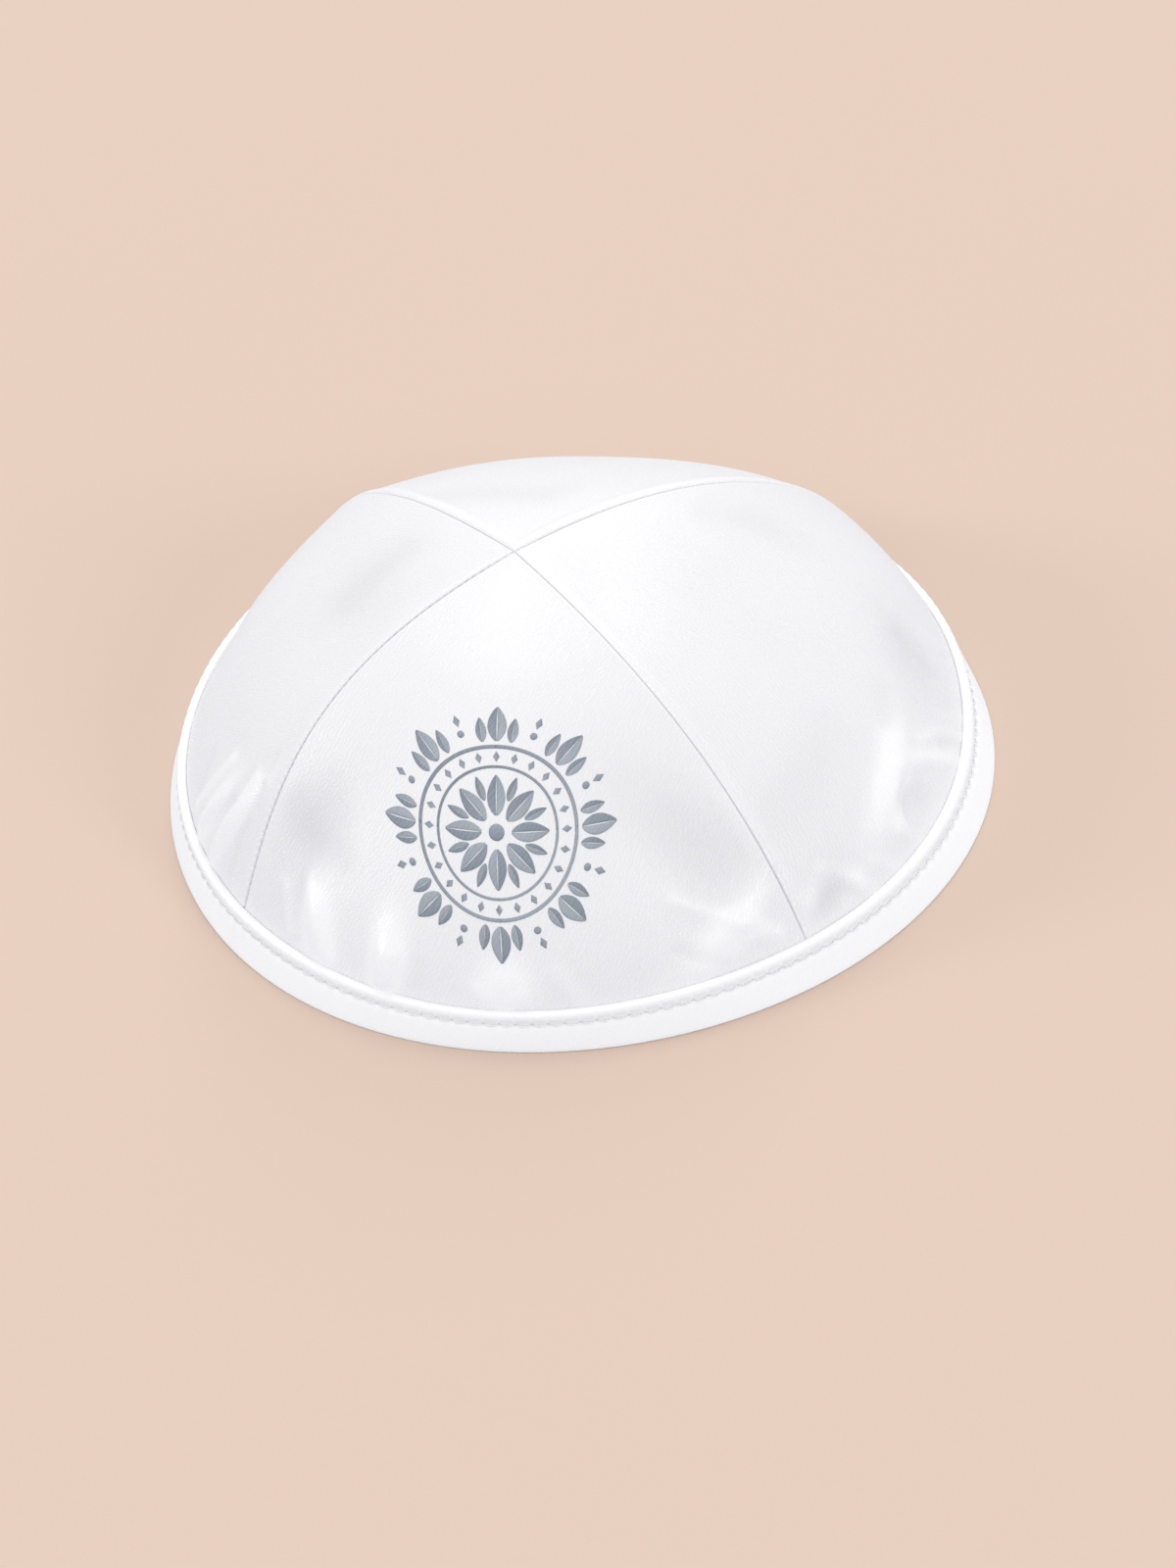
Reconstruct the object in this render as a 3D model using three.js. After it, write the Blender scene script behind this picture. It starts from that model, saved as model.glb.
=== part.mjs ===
// A skullcap of four sewn satin panels, with a folded binding round its rim.
// Lengths are in millimetres, angles in degrees and +Z is up. The front panel faces -Y, and the
// origin is the middle of the rim, on the level surface that the cap rests on.

import * as THREE from "three";

// Driving sizes
const RIM_ACROSS = 170; // outside of the binding, from side to side
const CROWN_HEIGHT = 58; // from the surface below the rim to the crown
const PANEL_CLOTH = 1.0; // wall of a panel: satin on its backing
const BINDING_CLOTH = 1.0; // wall of the folded tape
const BINDING_WIDTH = 9; // how far the tape reaches up the cap, along the cloth
const CLEARANCE = 0.3; // gap between pieces that are sewn together

// The crown's place over the rim: the cap slumps a little to the left and to the front
const CROWN_LEFT = 5.9;
const CROWN_FORWARD = 3.4;
const SLUMP_POWER = 1.65; // how late in the rise the slump comes

// The rim's plan, which is nearly round
const RIM_DIAGONAL = -1.5; // how much wider the rim is along the diagonal from front left to back right
const RIM_EGG = 1.2; // how far the rim is pulled out towards the right

// The seams' profile is one Bezier curve. A handle's reach is a share of the straight line from rim to crown.
const RIM_RISE = 71.5; // how steeply the wall stands on the rim
const RIM_REACH = 0.515;
const CROWN_FALL = 3; // how steeply a seam leaves the crown
const CROWN_REACH = 0.285;

// A level section is round at flatness 0 and has straight sides between the seams at 0.29
const FLATNESS = { low: -0.1, middle: 0.1, top: 0.29 };

// Where each seam stands round the cap, and how much fuller than the profile it is at half height
const SEAMS = [
  { azimuth: -133.8, fullness: -0.021 }, // front left
  { azimuth: -44.5, fullness: -0.013 }, // front right
  { azimuth: 49.8, fullness: 0.06 }, // back right
  { azimuth: 141.9, fullness: -0.008 }, // back left
];

// Each panel runs from the seam of its own row to the seam of the next row
const PANELS = [
  { name: "front_panel", fullness: 0.026, color: 0xf4f2f4 },
  { name: "right_panel", fullness: -0.036, color: 0xf2f0f3 },
  { name: "back_panel", fullness: -0.02, color: 0xeeecf0 },
  { name: "left_panel", fullness: -0.013, color: 0xf0eef2 },
];

// A seam sinks between the two turned edges of its panels
const SEAM_SINK = 0.5;
const SEAM_LIP = 2.4; // width of a turned edge
const LIP_PUFF = 0.35; // how far a turned edge stands up beside its seam

// Dents and puckers. across is -1 at a panel's first seam and 1 at its second. up, long and wide are shares
// of the slant from rim to crown. turn leans the fold's length from straight up the panel towards the second
// seam, in degrees. depth is a share of FOLD_DEPTH, out where positive.
const FOLD_DEPTH = 1.6;
const FOLDS = [
  { panel: "front_panel", across: -0.78, up: 0.3, long: 0.13, wide: 0.07, turn: 20, depth: -0.9 },
  { panel: "front_panel", across: -0.66, up: 0.15, long: 0.08, wide: 0.035, turn: -15, depth: 0.8 },
  { panel: "front_panel", across: -0.37, up: 0.14, long: 0.07, wide: 0.03, turn: 5, depth: 0.9 },
  { panel: "front_panel", across: 0.03, up: 0.12, long: 0.05, wide: 0.05, turn: 0, depth: 0.6 },
  { panel: "front_panel", across: 0.82, up: 0.16, long: 0.12, wide: 0.035, turn: 60, depth: 0.7 },
  { panel: "front_panel", across: 0.78, up: 0.31, long: 0.14, wide: 0.08, turn: -25, depth: -0.8 },
  { panel: "right_panel", across: -0.85, up: 0.12, long: 0.05, wide: 0.035, turn: 50, depth: -0.8 },
  { panel: "right_panel", across: -0.36, up: 0.12, long: 0.06, wide: 0.045, turn: 60, depth: -1.0 },
  { panel: "right_panel", across: -0.38, up: 0.19, long: 0.11, wide: 0.03, turn: 75, depth: 0.9 },
  { panel: "right_panel", across: 0.25, up: 0.2, long: 0.12, wide: 0.07, turn: 70, depth: -0.6 },
  { panel: "back_panel", across: -0.5, up: 0.16, long: 0.07, wide: 0.04, turn: 10, depth: 0.7 },
  { panel: "back_panel", across: 0.35, up: 0.15, long: 0.08, wide: 0.045, turn: -15, depth: -0.7 },
  { panel: "left_panel", across: 0.62, up: 0.15, long: 0.09, wide: 0.025, turn: 15, depth: 0.9 },
  { panel: "left_panel", across: 0.8, up: 0.2, long: 0.12, wide: 0.022, turn: 20, depth: 0.8 },
  { panel: "left_panel", across: -0.4, up: 0.16, long: 0.07, wide: 0.04, turn: -10, depth: -0.6 },
];
const RIM_FADE = 5; // folds and lips die out over this length above the binding
const SEAM_FADE = 5; // folds die out over this length beside a seam

// The binding's profile
const WELT_WIDTH = 2.2; // rolled strip along the tape's upper edge
const WELT_HEIGHT = 0.3; // how far the strip stands proud
const GROOVE_DEPTH = 0.25; // the stitch row's groove below the strip
const GROOVE_WIDTH = 1.2;
const RIM_BEVEL = 0.6; // eased edges beside the flat underside

// Fineness of the facets
const ROW_STEP = 5.4;
const COLUMN_STEP = 6.2;
const RIM_STEPS = 112;
const TIP_WIDTH = 1.2; // a panel's tip stops where the panel is this narrow

// Worked out from the sizes above
const SEAM_COUNT = SEAMS.length;
const BINDING_PROUD = CLEARANCE + BINDING_CLOTH;
const RIM_RADIUS = RIM_ACROSS / 2 - BINDING_PROUD;
const QUARTER = Math.PI / 4;
const radians = THREE.MathUtils.degToRad;
const smooth = (value, from, to) => THREE.MathUtils.smoothstep(value, from, to);

function seamProfile() {
  const slant = Math.hypot(RIM_RADIUS, CROWN_HEIGHT);
  const rise = new THREE.Vector2(-Math.cos(radians(RIM_RISE)), Math.sin(radians(RIM_RISE)));
  const fall = new THREE.Vector2(Math.cos(radians(CROWN_FALL)), -Math.sin(radians(CROWN_FALL)));
  const rim = new THREE.Vector2(RIM_RADIUS, 0);
  const crown = new THREE.Vector2(0, CROWN_HEIGHT);
  const curve = new THREE.CubicBezierCurve(
    rim,
    rise.multiplyScalar(RIM_REACH * slant).add(rim),
    fall.multiplyScalar(CROWN_REACH * slant).add(crown),
    crown,
  );
  curve.arcLengthDivisions = 400;
  return curve;
}

const PROFILE = seamProfile();
const SLANT = PROFILE.getLength();

// The cloth's own surface

function flatness(t) {
  const middle = 4 * t * (1 - t);
  return FLATNESS.low * middle * (1 - t) ** 2 + FLATNESS.middle * middle + FLATNESS.top * t * t;
}

function azimuthAt(panel, share) {
  const start = SEAMS[panel].azimuth;
  const span = (SEAMS[(panel + 1) % SEAM_COUNT].azimuth - start + 360) % 360;
  return radians(start + span * share);
}

// The cap's smooth outer surface. turn counts panels round the cap, and up is the share of the slant.
function capPoint(turn, up) {
  const round = ((turn % SEAM_COUNT) + SEAM_COUNT) % SEAM_COUNT;
  const panel = Math.floor(round);
  const share = round - panel;
  const azimuth = azimuthAt(panel, share);
  const t = PROFILE.getUtoTmapping(Math.min(Math.max(up, 0), 1));
  const profile = PROFILE.getPoint(t);
  const height = Math.min(profile.y / CROWN_HEIGHT, 1);

  const fromSeam = 2 * QUARTER * Math.min(share, 1 - share);
  const chord = 1 - Math.cos(QUARTER) / Math.cos(QUARTER - fromSeam);
  const squareness = 1 - (flatness(t) * chord) / (1 - Math.cos(QUARTER));

  const corner = Math.cos(2 * fromSeam) ** 2;
  const seam = SEAMS[share < 0.5 ? panel : (panel + 1) % SEAM_COUNT];
  const body = 4 * height * (1 - height);
  const fullness = 1 + body * (seam.fullness * corner + PANELS[panel].fullness * (1 - corner));

  const plan = RIM_DIAGONAL * Math.sin(2 * azimuth) + RIM_EGG * Math.cos(3 * azimuth);
  const roundness = 1 + (plan / RIM_RADIUS) * (1 - height);

  const radius = profile.x * squareness * fullness * roundness;
  const slump = height ** SLUMP_POWER;
  return new THREE.Vector3(
    radius * Math.cos(azimuth) - CROWN_LEFT * slump,
    radius * Math.sin(azimuth) - CROWN_FORWARD * slump,
    profile.y,
  );
}

function panelWidth(up) {
  const { x } = PROFILE.getPoint(PROFILE.getUtoTmapping(up));
  return Math.max(x, 1e-3) * 2 * QUARTER;
}

// Outwards, level at the rim and square to the cloth further up. At a seam it lies midway between its panels.
function outward(turn, up) {
  const across = Math.min(SEAM_LIP / panelWidth(up), 0.25);
  const along = SEAM_LIP / SLANT;
  const sideways = capPoint(turn + across, up).sub(capPoint(turn - across, up));
  const upwards = capPoint(turn, up + along).sub(capPoint(turn, up - along));
  const normal = sideways.cross(upwards).normalize();
  const level = new THREE.Vector3(normal.x, normal.y, 0).normalize();
  return level.lerp(normal, smooth(up * SLANT, 0, 3 * BINDING_WIDTH)).normalize();
}

// How far the folds and the seams' lips move a panel's cloth, out where positive
function relief(panel, share, up) {
  const width = panelWidth(up);
  const height = up * SLANT;
  const fromSeam = width * Math.min(share, 1 - share);
  const aboveRim = smooth(height, BINDING_WIDTH, BINDING_WIDTH + RIM_FADE);
  const besideSeam = smooth(fromSeam, 0, SEAM_FADE);
  let folds = 0;
  for (const fold of FOLDS) {
    if (fold.panel !== PANELS[panel].name) continue;
    const aside = (share - (1 + fold.across) / 2) * width;
    const above = (up - fold.up) * SLANT;
    const lean = radians(fold.turn);
    const onLength = (above * Math.cos(lean) + aside * Math.sin(lean)) / (fold.long * SLANT);
    const onWidth = (aside * Math.cos(lean) - above * Math.sin(lean)) / (fold.wide * SLANT);
    folds += fold.depth * FOLD_DEPTH * Math.exp(-onLength * onLength - onWidth * onWidth);
  }
  const lipShare = Math.min(fromSeam / SEAM_LIP, 1);
  const lip = LIP_PUFF * Math.sin(Math.PI * lipShare) - SEAM_SINK * (1 - lipShare) ** 2;
  const nearTip = smooth(width, 0, 4 * SEAM_LIP);
  return aboveRim * (folds * besideSeam + lip * nearTip);
}

// A point of a panel, proud of the smooth surface by the given distance
function panelPoint(panel, share, up, proud) {
  const turn = panel + share;
  return capPoint(turn, up).addScaledVector(outward(turn, up), proud + relief(panel, share, up));
}

// Panels

// Where a row of points stands across a panel: close together on the turned edges, evenly spread between them
function rowShares(width) {
  const edge = CLEARANCE / 2;
  const lips = width > 6 * SEAM_LIP ? [0, SEAM_LIP / 2, SEAM_LIP] : [0];
  const first = lips.map((lip) => edge + lip);
  const inner = width - 2 * first[first.length - 1];
  const count = Math.max(1, Math.round(inner / COLUMN_STEP));
  const middle = [];
  for (let i = 1; i < count; i++) middle.push(first[first.length - 1] + (inner * i) / count);
  const last = first.map((lip) => width - lip).reverse();
  return [...first, ...middle, ...last].map((place) => place / width);
}

// Heights spread evenly between two, with the first one left out
function stepsUp(from, to, step) {
  const count = Math.max(1, Math.round((to - from) / step));
  return Array.from({ length: count }, (_, i) => from + ((to - from) * (i + 1)) / count);
}

// Rows from the panel's lower edge, which stands inside the folded binding, to its tip at the crown.
// One row lies level with the binding's upper edge, where the folds begin.
function panelRows() {
  const lowest = BINDING_CLOTH + CLEARANCE;
  const highest = SLANT - TIP_WIDTH / (2 * QUARTER);
  const covered = stepsUp(lowest, BINDING_WIDTH, ROW_STEP);
  const open = stepsUp(BINDING_WIDTH, highest, ROW_STEP);
  return [lowest, ...covered, ...open].map((height) => {
    const up = height / SLANT;
    return { up, shares: rowShares(panelWidth(up)) };
  });
}

// Triangles between two rows that may differ in their number of points
function stripFaces(lower, upper, lowerStart, upperStart) {
  const faces = [];
  let i = 0;
  let j = 0;
  while (i < lower.length - 1 || j < upper.length - 1) {
    const nextLower = i < lower.length - 1 ? lower[i] + lower[i + 1] : Infinity;
    const nextUpper = j < upper.length - 1 ? upper[j] + upper[j + 1] : Infinity;
    if (nextLower <= nextUpper) {
      faces.push([lowerStart + i, lowerStart + i + 1, upperStart + j]);
      i += 1;
    } else {
      faces.push([lowerStart + i, upperStart + j + 1, upperStart + j]);
      j += 1;
    }
  }
  return faces;
}

function solidGeometry(points, faces) {
  const geometry = new THREE.BufferGeometry().setFromPoints(points);
  geometry.setIndex(faces.flat());
  geometry.computeVertexNormals();
  return geometry;
}

// One panel: a curved wall with an outer and an inner face, closed round its edge
function panelGeometry(panel) {
  const rows = panelRows();
  const outer = [];
  const inner = [];
  const starts = [];
  for (const { up, shares } of rows) {
    starts.push(outer.length);
    for (const share of shares) {
      outer.push(panelPoint(panel, share, up, 0));
      inner.push(panelPoint(panel, share, up, -PANEL_CLOTH));
    }
  }
  const count = outer.length;
  const skin = [];
  for (let r = 0; r + 1 < rows.length; r++) {
    skin.push(...stripFaces(rows[r].shares, rows[r + 1].shares, starts[r], starts[r + 1]));
  }
  const lining = skin.map(([a, b, c]) => [a + count, c + count, b + count]);

  const last = rows.length - 1;
  const bottom = rows[0].shares.map((_, i) => i);
  const right = rows.map(({ shares }, r) => starts[r] + shares.length - 1);
  const top = rows[last].shares.map((_, i) => starts[last] + i).reverse();
  const left = [...starts].reverse();
  const rim = [...bottom, ...right.slice(1), ...top.slice(1), ...left.slice(1)];
  const edge = [];
  for (let i = 0; i + 1 < rim.length; i++) {
    const [a, b] = [rim[i], rim[i + 1]];
    edge.push([a, a + count, b], [b, a + count, b + count]);
  }
  return solidGeometry([...outer, ...inner], [...skin, ...lining, ...edge]);
}

// Binding

// The folded tape's section, as heights along the cloth and distances out from the panels' outer face
function bindingSection() {
  const outside = BINDING_PROUD;
  const inside = -(PANEL_CLOTH + CLEARANCE + BINDING_CLOTH);
  const slotOut = CLEARANCE;
  const slotIn = -(PANEL_CLOTH + CLEARANCE);
  const top = BINDING_WIDTH;
  const weltFoot = top - WELT_WIDTH;
  const grooveFoot = weltFoot - GROOVE_WIDTH;
  const eased = BINDING_CLOTH / 3;
  return [
    { height: 0, out: outside - RIM_BEVEL },
    { height: RIM_BEVEL, out: outside },
    { height: grooveFoot, out: outside },
    { height: (grooveFoot + weltFoot) / 2, out: outside - GROOVE_DEPTH },
    { height: weltFoot, out: outside },
    { height: (weltFoot + top) / 2, out: outside + WELT_HEIGHT },
    { height: top - eased, out: outside },
    { height: top, out: (outside + slotOut) / 2 },
    { height: top - eased, out: slotOut },
    { height: BINDING_CLOTH, out: slotOut },
    { height: BINDING_CLOTH, out: slotIn },
    { height: top - eased, out: slotIn },
    { height: top, out: (inside + slotIn) / 2 },
    { height: top - eased, out: inside },
    { height: RIM_BEVEL, out: inside },
    { height: 0, out: inside + RIM_BEVEL },
  ];
}

// The section carried once round the rim
function bindingGeometry() {
  const section = bindingSection();
  const points = [];
  for (let step = 0; step < RIM_STEPS; step++) {
    const turn = (SEAM_COUNT * step) / RIM_STEPS;
    for (const { height, out } of section) {
      const up = height / SLANT;
      points.push(capPoint(turn, up).addScaledVector(outward(turn, up), out));
    }
  }
  const faces = [];
  const size = section.length;
  for (let step = 0; step < RIM_STEPS; step++) {
    const next = (step + 1) % RIM_STEPS;
    for (let i = 0; i < size; i++) {
      const j = (i + 1) % size;
      const [a, b] = [step * size + i, next * size + i];
      const [c, d] = [next * size + j, step * size + j];
      faces.push([a, b, c], [a, c, d]);
    }
  }
  return solidGeometry(points, faces);
}

function satinMesh(name, geometry, color) {
  const mesh = new THREE.Mesh(
    geometry,
    new THREE.MeshStandardMaterial({ color, roughness: 0.45, metalness: 0 }),
  );
  mesh.name = name;
  return mesh;
}

function buildCap() {
  const cap = new THREE.Group();
  PANELS.forEach(({ name, color }, i) => cap.add(satinMesh(name, panelGeometry(i), color)));
  cap.add(satinMesh("rim_binding", bindingGeometry(), 0xf6f5f6));
  const middle = new THREE.Box3().setFromObject(cap).getCenter(new THREE.Vector3());
  cap.position.set(-middle.x, -middle.y, 0);
  return cap;
}

export default buildCap();
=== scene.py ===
"""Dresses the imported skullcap: satin panels, bound rim, stitches and a printed ornament, in a soft studio."""

import logging
import math
from dataclasses import dataclass, field
from enum import Enum
from typing import Any, Iterable, Sequence

import bpy
import numpy as np
from mathutils import Matrix, Vector


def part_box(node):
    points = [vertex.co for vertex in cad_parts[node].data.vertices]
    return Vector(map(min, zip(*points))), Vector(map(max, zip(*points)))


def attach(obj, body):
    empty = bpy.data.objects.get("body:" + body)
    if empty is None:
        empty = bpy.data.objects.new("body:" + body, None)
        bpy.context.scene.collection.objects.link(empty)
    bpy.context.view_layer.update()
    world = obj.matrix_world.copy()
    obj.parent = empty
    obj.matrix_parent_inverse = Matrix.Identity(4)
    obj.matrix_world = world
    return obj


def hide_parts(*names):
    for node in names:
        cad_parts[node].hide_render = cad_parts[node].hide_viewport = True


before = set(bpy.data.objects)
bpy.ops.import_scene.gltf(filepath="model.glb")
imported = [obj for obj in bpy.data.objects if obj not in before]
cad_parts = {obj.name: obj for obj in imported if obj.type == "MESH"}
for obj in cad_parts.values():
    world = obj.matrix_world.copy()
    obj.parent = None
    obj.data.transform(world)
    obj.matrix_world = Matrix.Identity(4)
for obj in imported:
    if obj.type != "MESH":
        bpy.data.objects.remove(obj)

LOG = logging.getLogger("skullcap")
MM = 0.001
QUARTER = math.pi / 4
SEAM_COUNT = 4
BODY = "root"
CLOTH_MAP = "cloth"
DECIMETRE = 0.1
Array = np.ndarray
Colour = tuple[float, float, float, float]
Faces = list[tuple[int, ...]]


def smooth(value: Array | float, start: float, end: float) -> Array:
    """An eased step.

    Args:
        value: where to read the step.
        start: the value up to which it is 0.
        end: the value from which it is 1.

    Returns:
        Shares from 0 to 1.
    """
    share = np.clip((np.asarray(value, float) - start) / (end - start), 0, 1)
    return share * share * (3 - 2 * share)


def unit(vectors: Array) -> Array:
    """The vectors at length 1."""
    return vectors / np.maximum(np.linalg.norm(vectors, axis=-1, keepdims=True), 1e-12)


# Meshes


def in_scene(name: str, data: bpy.types.ID) -> bpy.types.Object:
    """Puts a mesh, a light or a camera in the scene.

    Args:
        name: the object's name.
        data: what the object shows.

    Returns:
        The new object.
    """
    made = bpy.data.objects.new(name, data)
    bpy.context.scene.collection.objects.link(made)
    return made


def mesh_object(name: str, points: Array, faces: Faces, flat: Iterable[int] = ()) -> bpy.types.Object:
    """A smooth-shaded mesh object in the scene.

    Args:
        name: the object's name.
        points: its corners in metres.
        faces: the corner numbers of each face, anticlockwise from outside.
        flat: numbers of the faces that stay flat-shaded.

    Returns:
        The new object.
    """
    mesh = bpy.data.meshes.new(name)
    mesh.from_pydata(points.tolist(), [], faces)
    shading = np.ones(len(mesh.polygons), bool)
    shading[list(flat)] = False
    mesh.polygons.foreach_set("use_smooth", shading)
    return in_scene(name, mesh)


def add_attribute(piece: bpy.types.Object, name: str, values: Array) -> None:
    """Stores a number or a vector for each corner.

    Args:
        piece: the mesh object.
        name: the attribute's name.
        values: one row for each corner.
    """
    vector = values.ndim == 2
    made = piece.data.attributes.new(name, "FLOAT_VECTOR" if vector else "FLOAT", "POINT")
    made.data.foreach_set("vector" if vector else "value", values.astype(np.float32).ravel())


def add_map(piece: bpy.types.Object, places: Array) -> None:
    """Stores where each corner lies on the flat cloth, in decimetres.

    Args:
        piece: the mesh object.
        places: one pair for each corner.
    """
    corners = np.empty(len(piece.data.loops), np.int32)
    piece.data.loops.foreach_get("vertex_index", corners)
    layer = piece.data.uv_layers.new(name=CLOTH_MAP)
    layer.data.foreach_set("uv", (places[corners] / DECIMETRE).astype(np.float32).ravel())


def grid_faces(rows: int, columns: int, start: int = 0) -> Faces:
    """Four-cornered faces between rows of points.

    Args:
        rows: number of rows.
        columns: points in a row.
        start: number of the first point.

    Returns:
        The corner numbers of each face.
    """
    corners = [start + row * columns + i for row in range(rows - 1) for i in range(columns - 1)]
    return [(n, n + 1, n + columns + 1, n + columns) for n in corners]


# Node trees


class TreeWriter:
    """Adds nodes to a tree, sets their inputs and joins them."""

    def __init__(self, tree: bpy.types.NodeTree) -> None:
        """Takes the tree to write to."""
        self.tree = tree

    def add(self, kind: str, inputs: dict[str | int, Any] | None = None, **settings: Any) -> bpy.types.Node:
        """Adds a node.

        Args:
            kind: the node's type.
            inputs: a value or another node's socket for each input's name or number.
            settings: the node's own properties.

        Returns:
            The node.
        """
        node = self.tree.nodes.new(kind)
        for name, value in settings.items():
            setattr(node, name, value)
        for key, value in (inputs or {}).items():
            if isinstance(value, bpy.types.NodeSocket):
                self.join(value, node.inputs[key])
            else:
                node.inputs[key].default_value = value
        return node

    def math(self, operation: str, *values: Any) -> bpy.types.NodeSocket:
        """A calculation on one to three numbers or sockets, as a socket."""
        return self.add("ShaderNodeMath", dict(enumerate(values)), operation=operation).outputs[0]

    def times(self, first: Any, second: Any) -> bpy.types.NodeSocket:
        """The product of two numbers or sockets, as a socket."""
        return self.math("MULTIPLY", first, second)

    def mixed(self, share: Any, first: Any, second: Any) -> bpy.types.NodeSocket:
        """The first colour turning into the second as share goes from 0 to 1."""
        node = self.add("ShaderNodeMix", {0: share, 6: first, 7: second}, data_type="RGBA")
        return node.outputs[2]

    def stored(self, name: str, kind: str = "FLOAT") -> bpy.types.NodeSocket:
        """A mesh attribute inside a geometry tree."""
        node = self.add("GeometryNodeInputNamedAttribute", {"Name": name}, data_type=kind)
        return node.outputs["Attribute"]

    def seen(self, name: str) -> bpy.types.NodeSocket:
        """A mesh attribute's number inside a material."""
        return self.add("ShaderNodeAttribute", attribute_name=name).outputs["Fac"]

    def join(self, source: bpy.types.NodeSocket, target: bpy.types.NodeSocket) -> None:
        """Links an output to an input."""
        self.tree.links.new(source, target)


def new_group(
    name: str, kind: str, inputs: dict[str, tuple[str, Any]], outputs: dict[str, str]
) -> tuple[TreeWriter, Any, Any]:
    """A node group with named sockets.

    Args:
        name: the group's name.
        kind: what its tree makes, Geometry or Shader.
        inputs: type and value of each input.
        outputs: type of each output.

    Returns:
        A writer for the group, its input node's outputs and its output node's inputs.
    """
    tree = bpy.data.node_groups.new(name, f"{kind}NodeTree")
    for label, (socket, value) in inputs.items():
        made = tree.interface.new_socket(label, in_out="INPUT", socket_type=f"NodeSocket{socket}")
        if value is not None:
            made.default_value = value
    for label, socket in outputs.items():
        tree.interface.new_socket(label, in_out="OUTPUT", socket_type=f"NodeSocket{socket}")
    writer = TreeWriter(tree)
    return writer, writer.add("NodeGroupInput").outputs, writer.add("NodeGroupOutput").inputs


def new_material(name: str) -> tuple[bpy.types.Material, TreeWriter]:
    """An empty material.

    Args:
        name: the material's name.

    Returns:
        The material and a writer for its tree.
    """
    made = bpy.data.materials.new(name)
    made.use_nodes = True
    made.node_tree.nodes.clear()
    return made, TreeWriter(made.node_tree)


def shine(write: TreeWriter, inputs: dict[str, Any]) -> None:
    """Ends a material with a Principled shader.

    Args:
        write: the writer of the material's tree.
        inputs: a value or a socket for each of the shader's inputs that differ from plain.
    """
    shader = write.add("ShaderNodeBsdfPrincipled", inputs)
    write.add("ShaderNodeOutputMaterial", {"Surface": shader.outputs[0]})


def woven(
    write: TreeWriter, bump: float, height: float, weave: dict[str, float]
) -> tuple[bpy.types.NodeSocket, bpy.types.NodeSocket]:
    """Lays the weave over a material's cloth.

    Args:
        write: the writer of the material's tree.
        bump: how strongly the threads stand out, from 0 to 1.
        height: how high they stand, in metres.
        weave: values for the weave's own inputs.

    Returns:
        The weave's fleck and the bumped normal.
    """
    cloth = write.add("ShaderNodeUVMap", uv_map=CLOTH_MAP)
    inputs = {"Place": cloth.outputs[0], **weave}
    laid = write.add("ShaderNodeGroup", inputs, node_tree=bpy.data.node_groups["satin_weave"])
    threads = {"Height": laid.outputs["Height"], "Strength": bump, "Distance": height}
    return laid.outputs["Fleck"], write.add("ShaderNodeBump", threads).outputs[0]


def grow(piece: bpy.types.Object, tree: bpy.types.NodeTree, values: dict[str, Any]) -> None:
    """Runs a geometry tree on a piece and keeps the result as its plain mesh.

    Args:
        piece: the object that carries the tree's path or surface.
        tree: the geometry tree.
        values: a value for each of the tree's named inputs.
    """
    modifier = piece.modifiers.new(tree.name, "NODES")
    modifier.node_group = tree
    for item in tree.interface.items_tree:
        if item.item_type == "SOCKET" and item.in_out == "INPUT" and item.name in values:
            modifier[item.identifier] = values[item.name]
    evaluated = piece.evaluated_get(bpy.context.evaluated_depsgraph_get())
    made = bpy.data.meshes.new_from_object(evaluated)
    made.name = piece.name
    piece.modifiers.remove(modifier)
    spare = piece.data
    piece.data = made
    bpy.data.meshes.remove(spare)


def pucker_tree() -> bpy.types.NodeTree:
    """Pulls cloth in at each needle hole of a row of stitches.

    The mesh carries along (its place on the row), hold (how firmly it is held) and outward.

    Returns:
        The geometry tree.
    """
    write, given, result = new_group(
        "stitch_puckers",
        "Geometry",
        {
            "Cloth": ("Geometry", None),
            "Pitch": ("Float", 0.003),
            "Depth": ("Float", 0.0002),
            "Sharpness": ("Float", 2.0),
            "Unevenness": ("Float", 0.5),
            "Seed": ("Float", 3.0),
            "Material": ("Material", None),
        },
        {"Cloth": "Geometry"},
    )
    place = write.math("DIVIDE", write.stored("along"), given["Pitch"])
    wave = write.math("COSINE", write.times(place, 2 * math.pi))
    hole = write.math("POWER", write.math("MULTIPLY_ADD", wave, -0.5, 0.5), given["Sharpness"])
    noise = write.add(
        "ShaderNodeTexNoise",
        {"W": write.math("ADD", place, given["Seed"]), "Scale": 0.7, "Detail": 1.0},
        noise_dimensions="1D",
    )
    swing = write.times(write.math("SUBTRACT", noise.outputs[0], 0.5), given["Unevenness"])
    pull = write.times(write.math("MULTIPLY_ADD", swing, 2.0, 1.0), given["Depth"])
    inward = write.times(write.times(hole, pull), write.times(write.stored("hold"), -1.0))
    outward = write.stored("outward", "FLOAT_VECTOR")
    offset = write.add("ShaderNodeVectorMath", {0: outward, "Scale": inward}, operation="SCALE")
    moved = write.add("GeometryNodeSetPosition", {"Geometry": given["Cloth"], "Offset": offset.outputs[0]})
    real = write.add("GeometryNodeRealizeInstances", {"Geometry": moved.outputs[0]}).outputs[0]
    dressed = write.add("GeometryNodeSetMaterial", {"Geometry": real, "Material": given["Material"]})
    write.join(dressed.outputs[0], result["Cloth"])
    return write.tree


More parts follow.
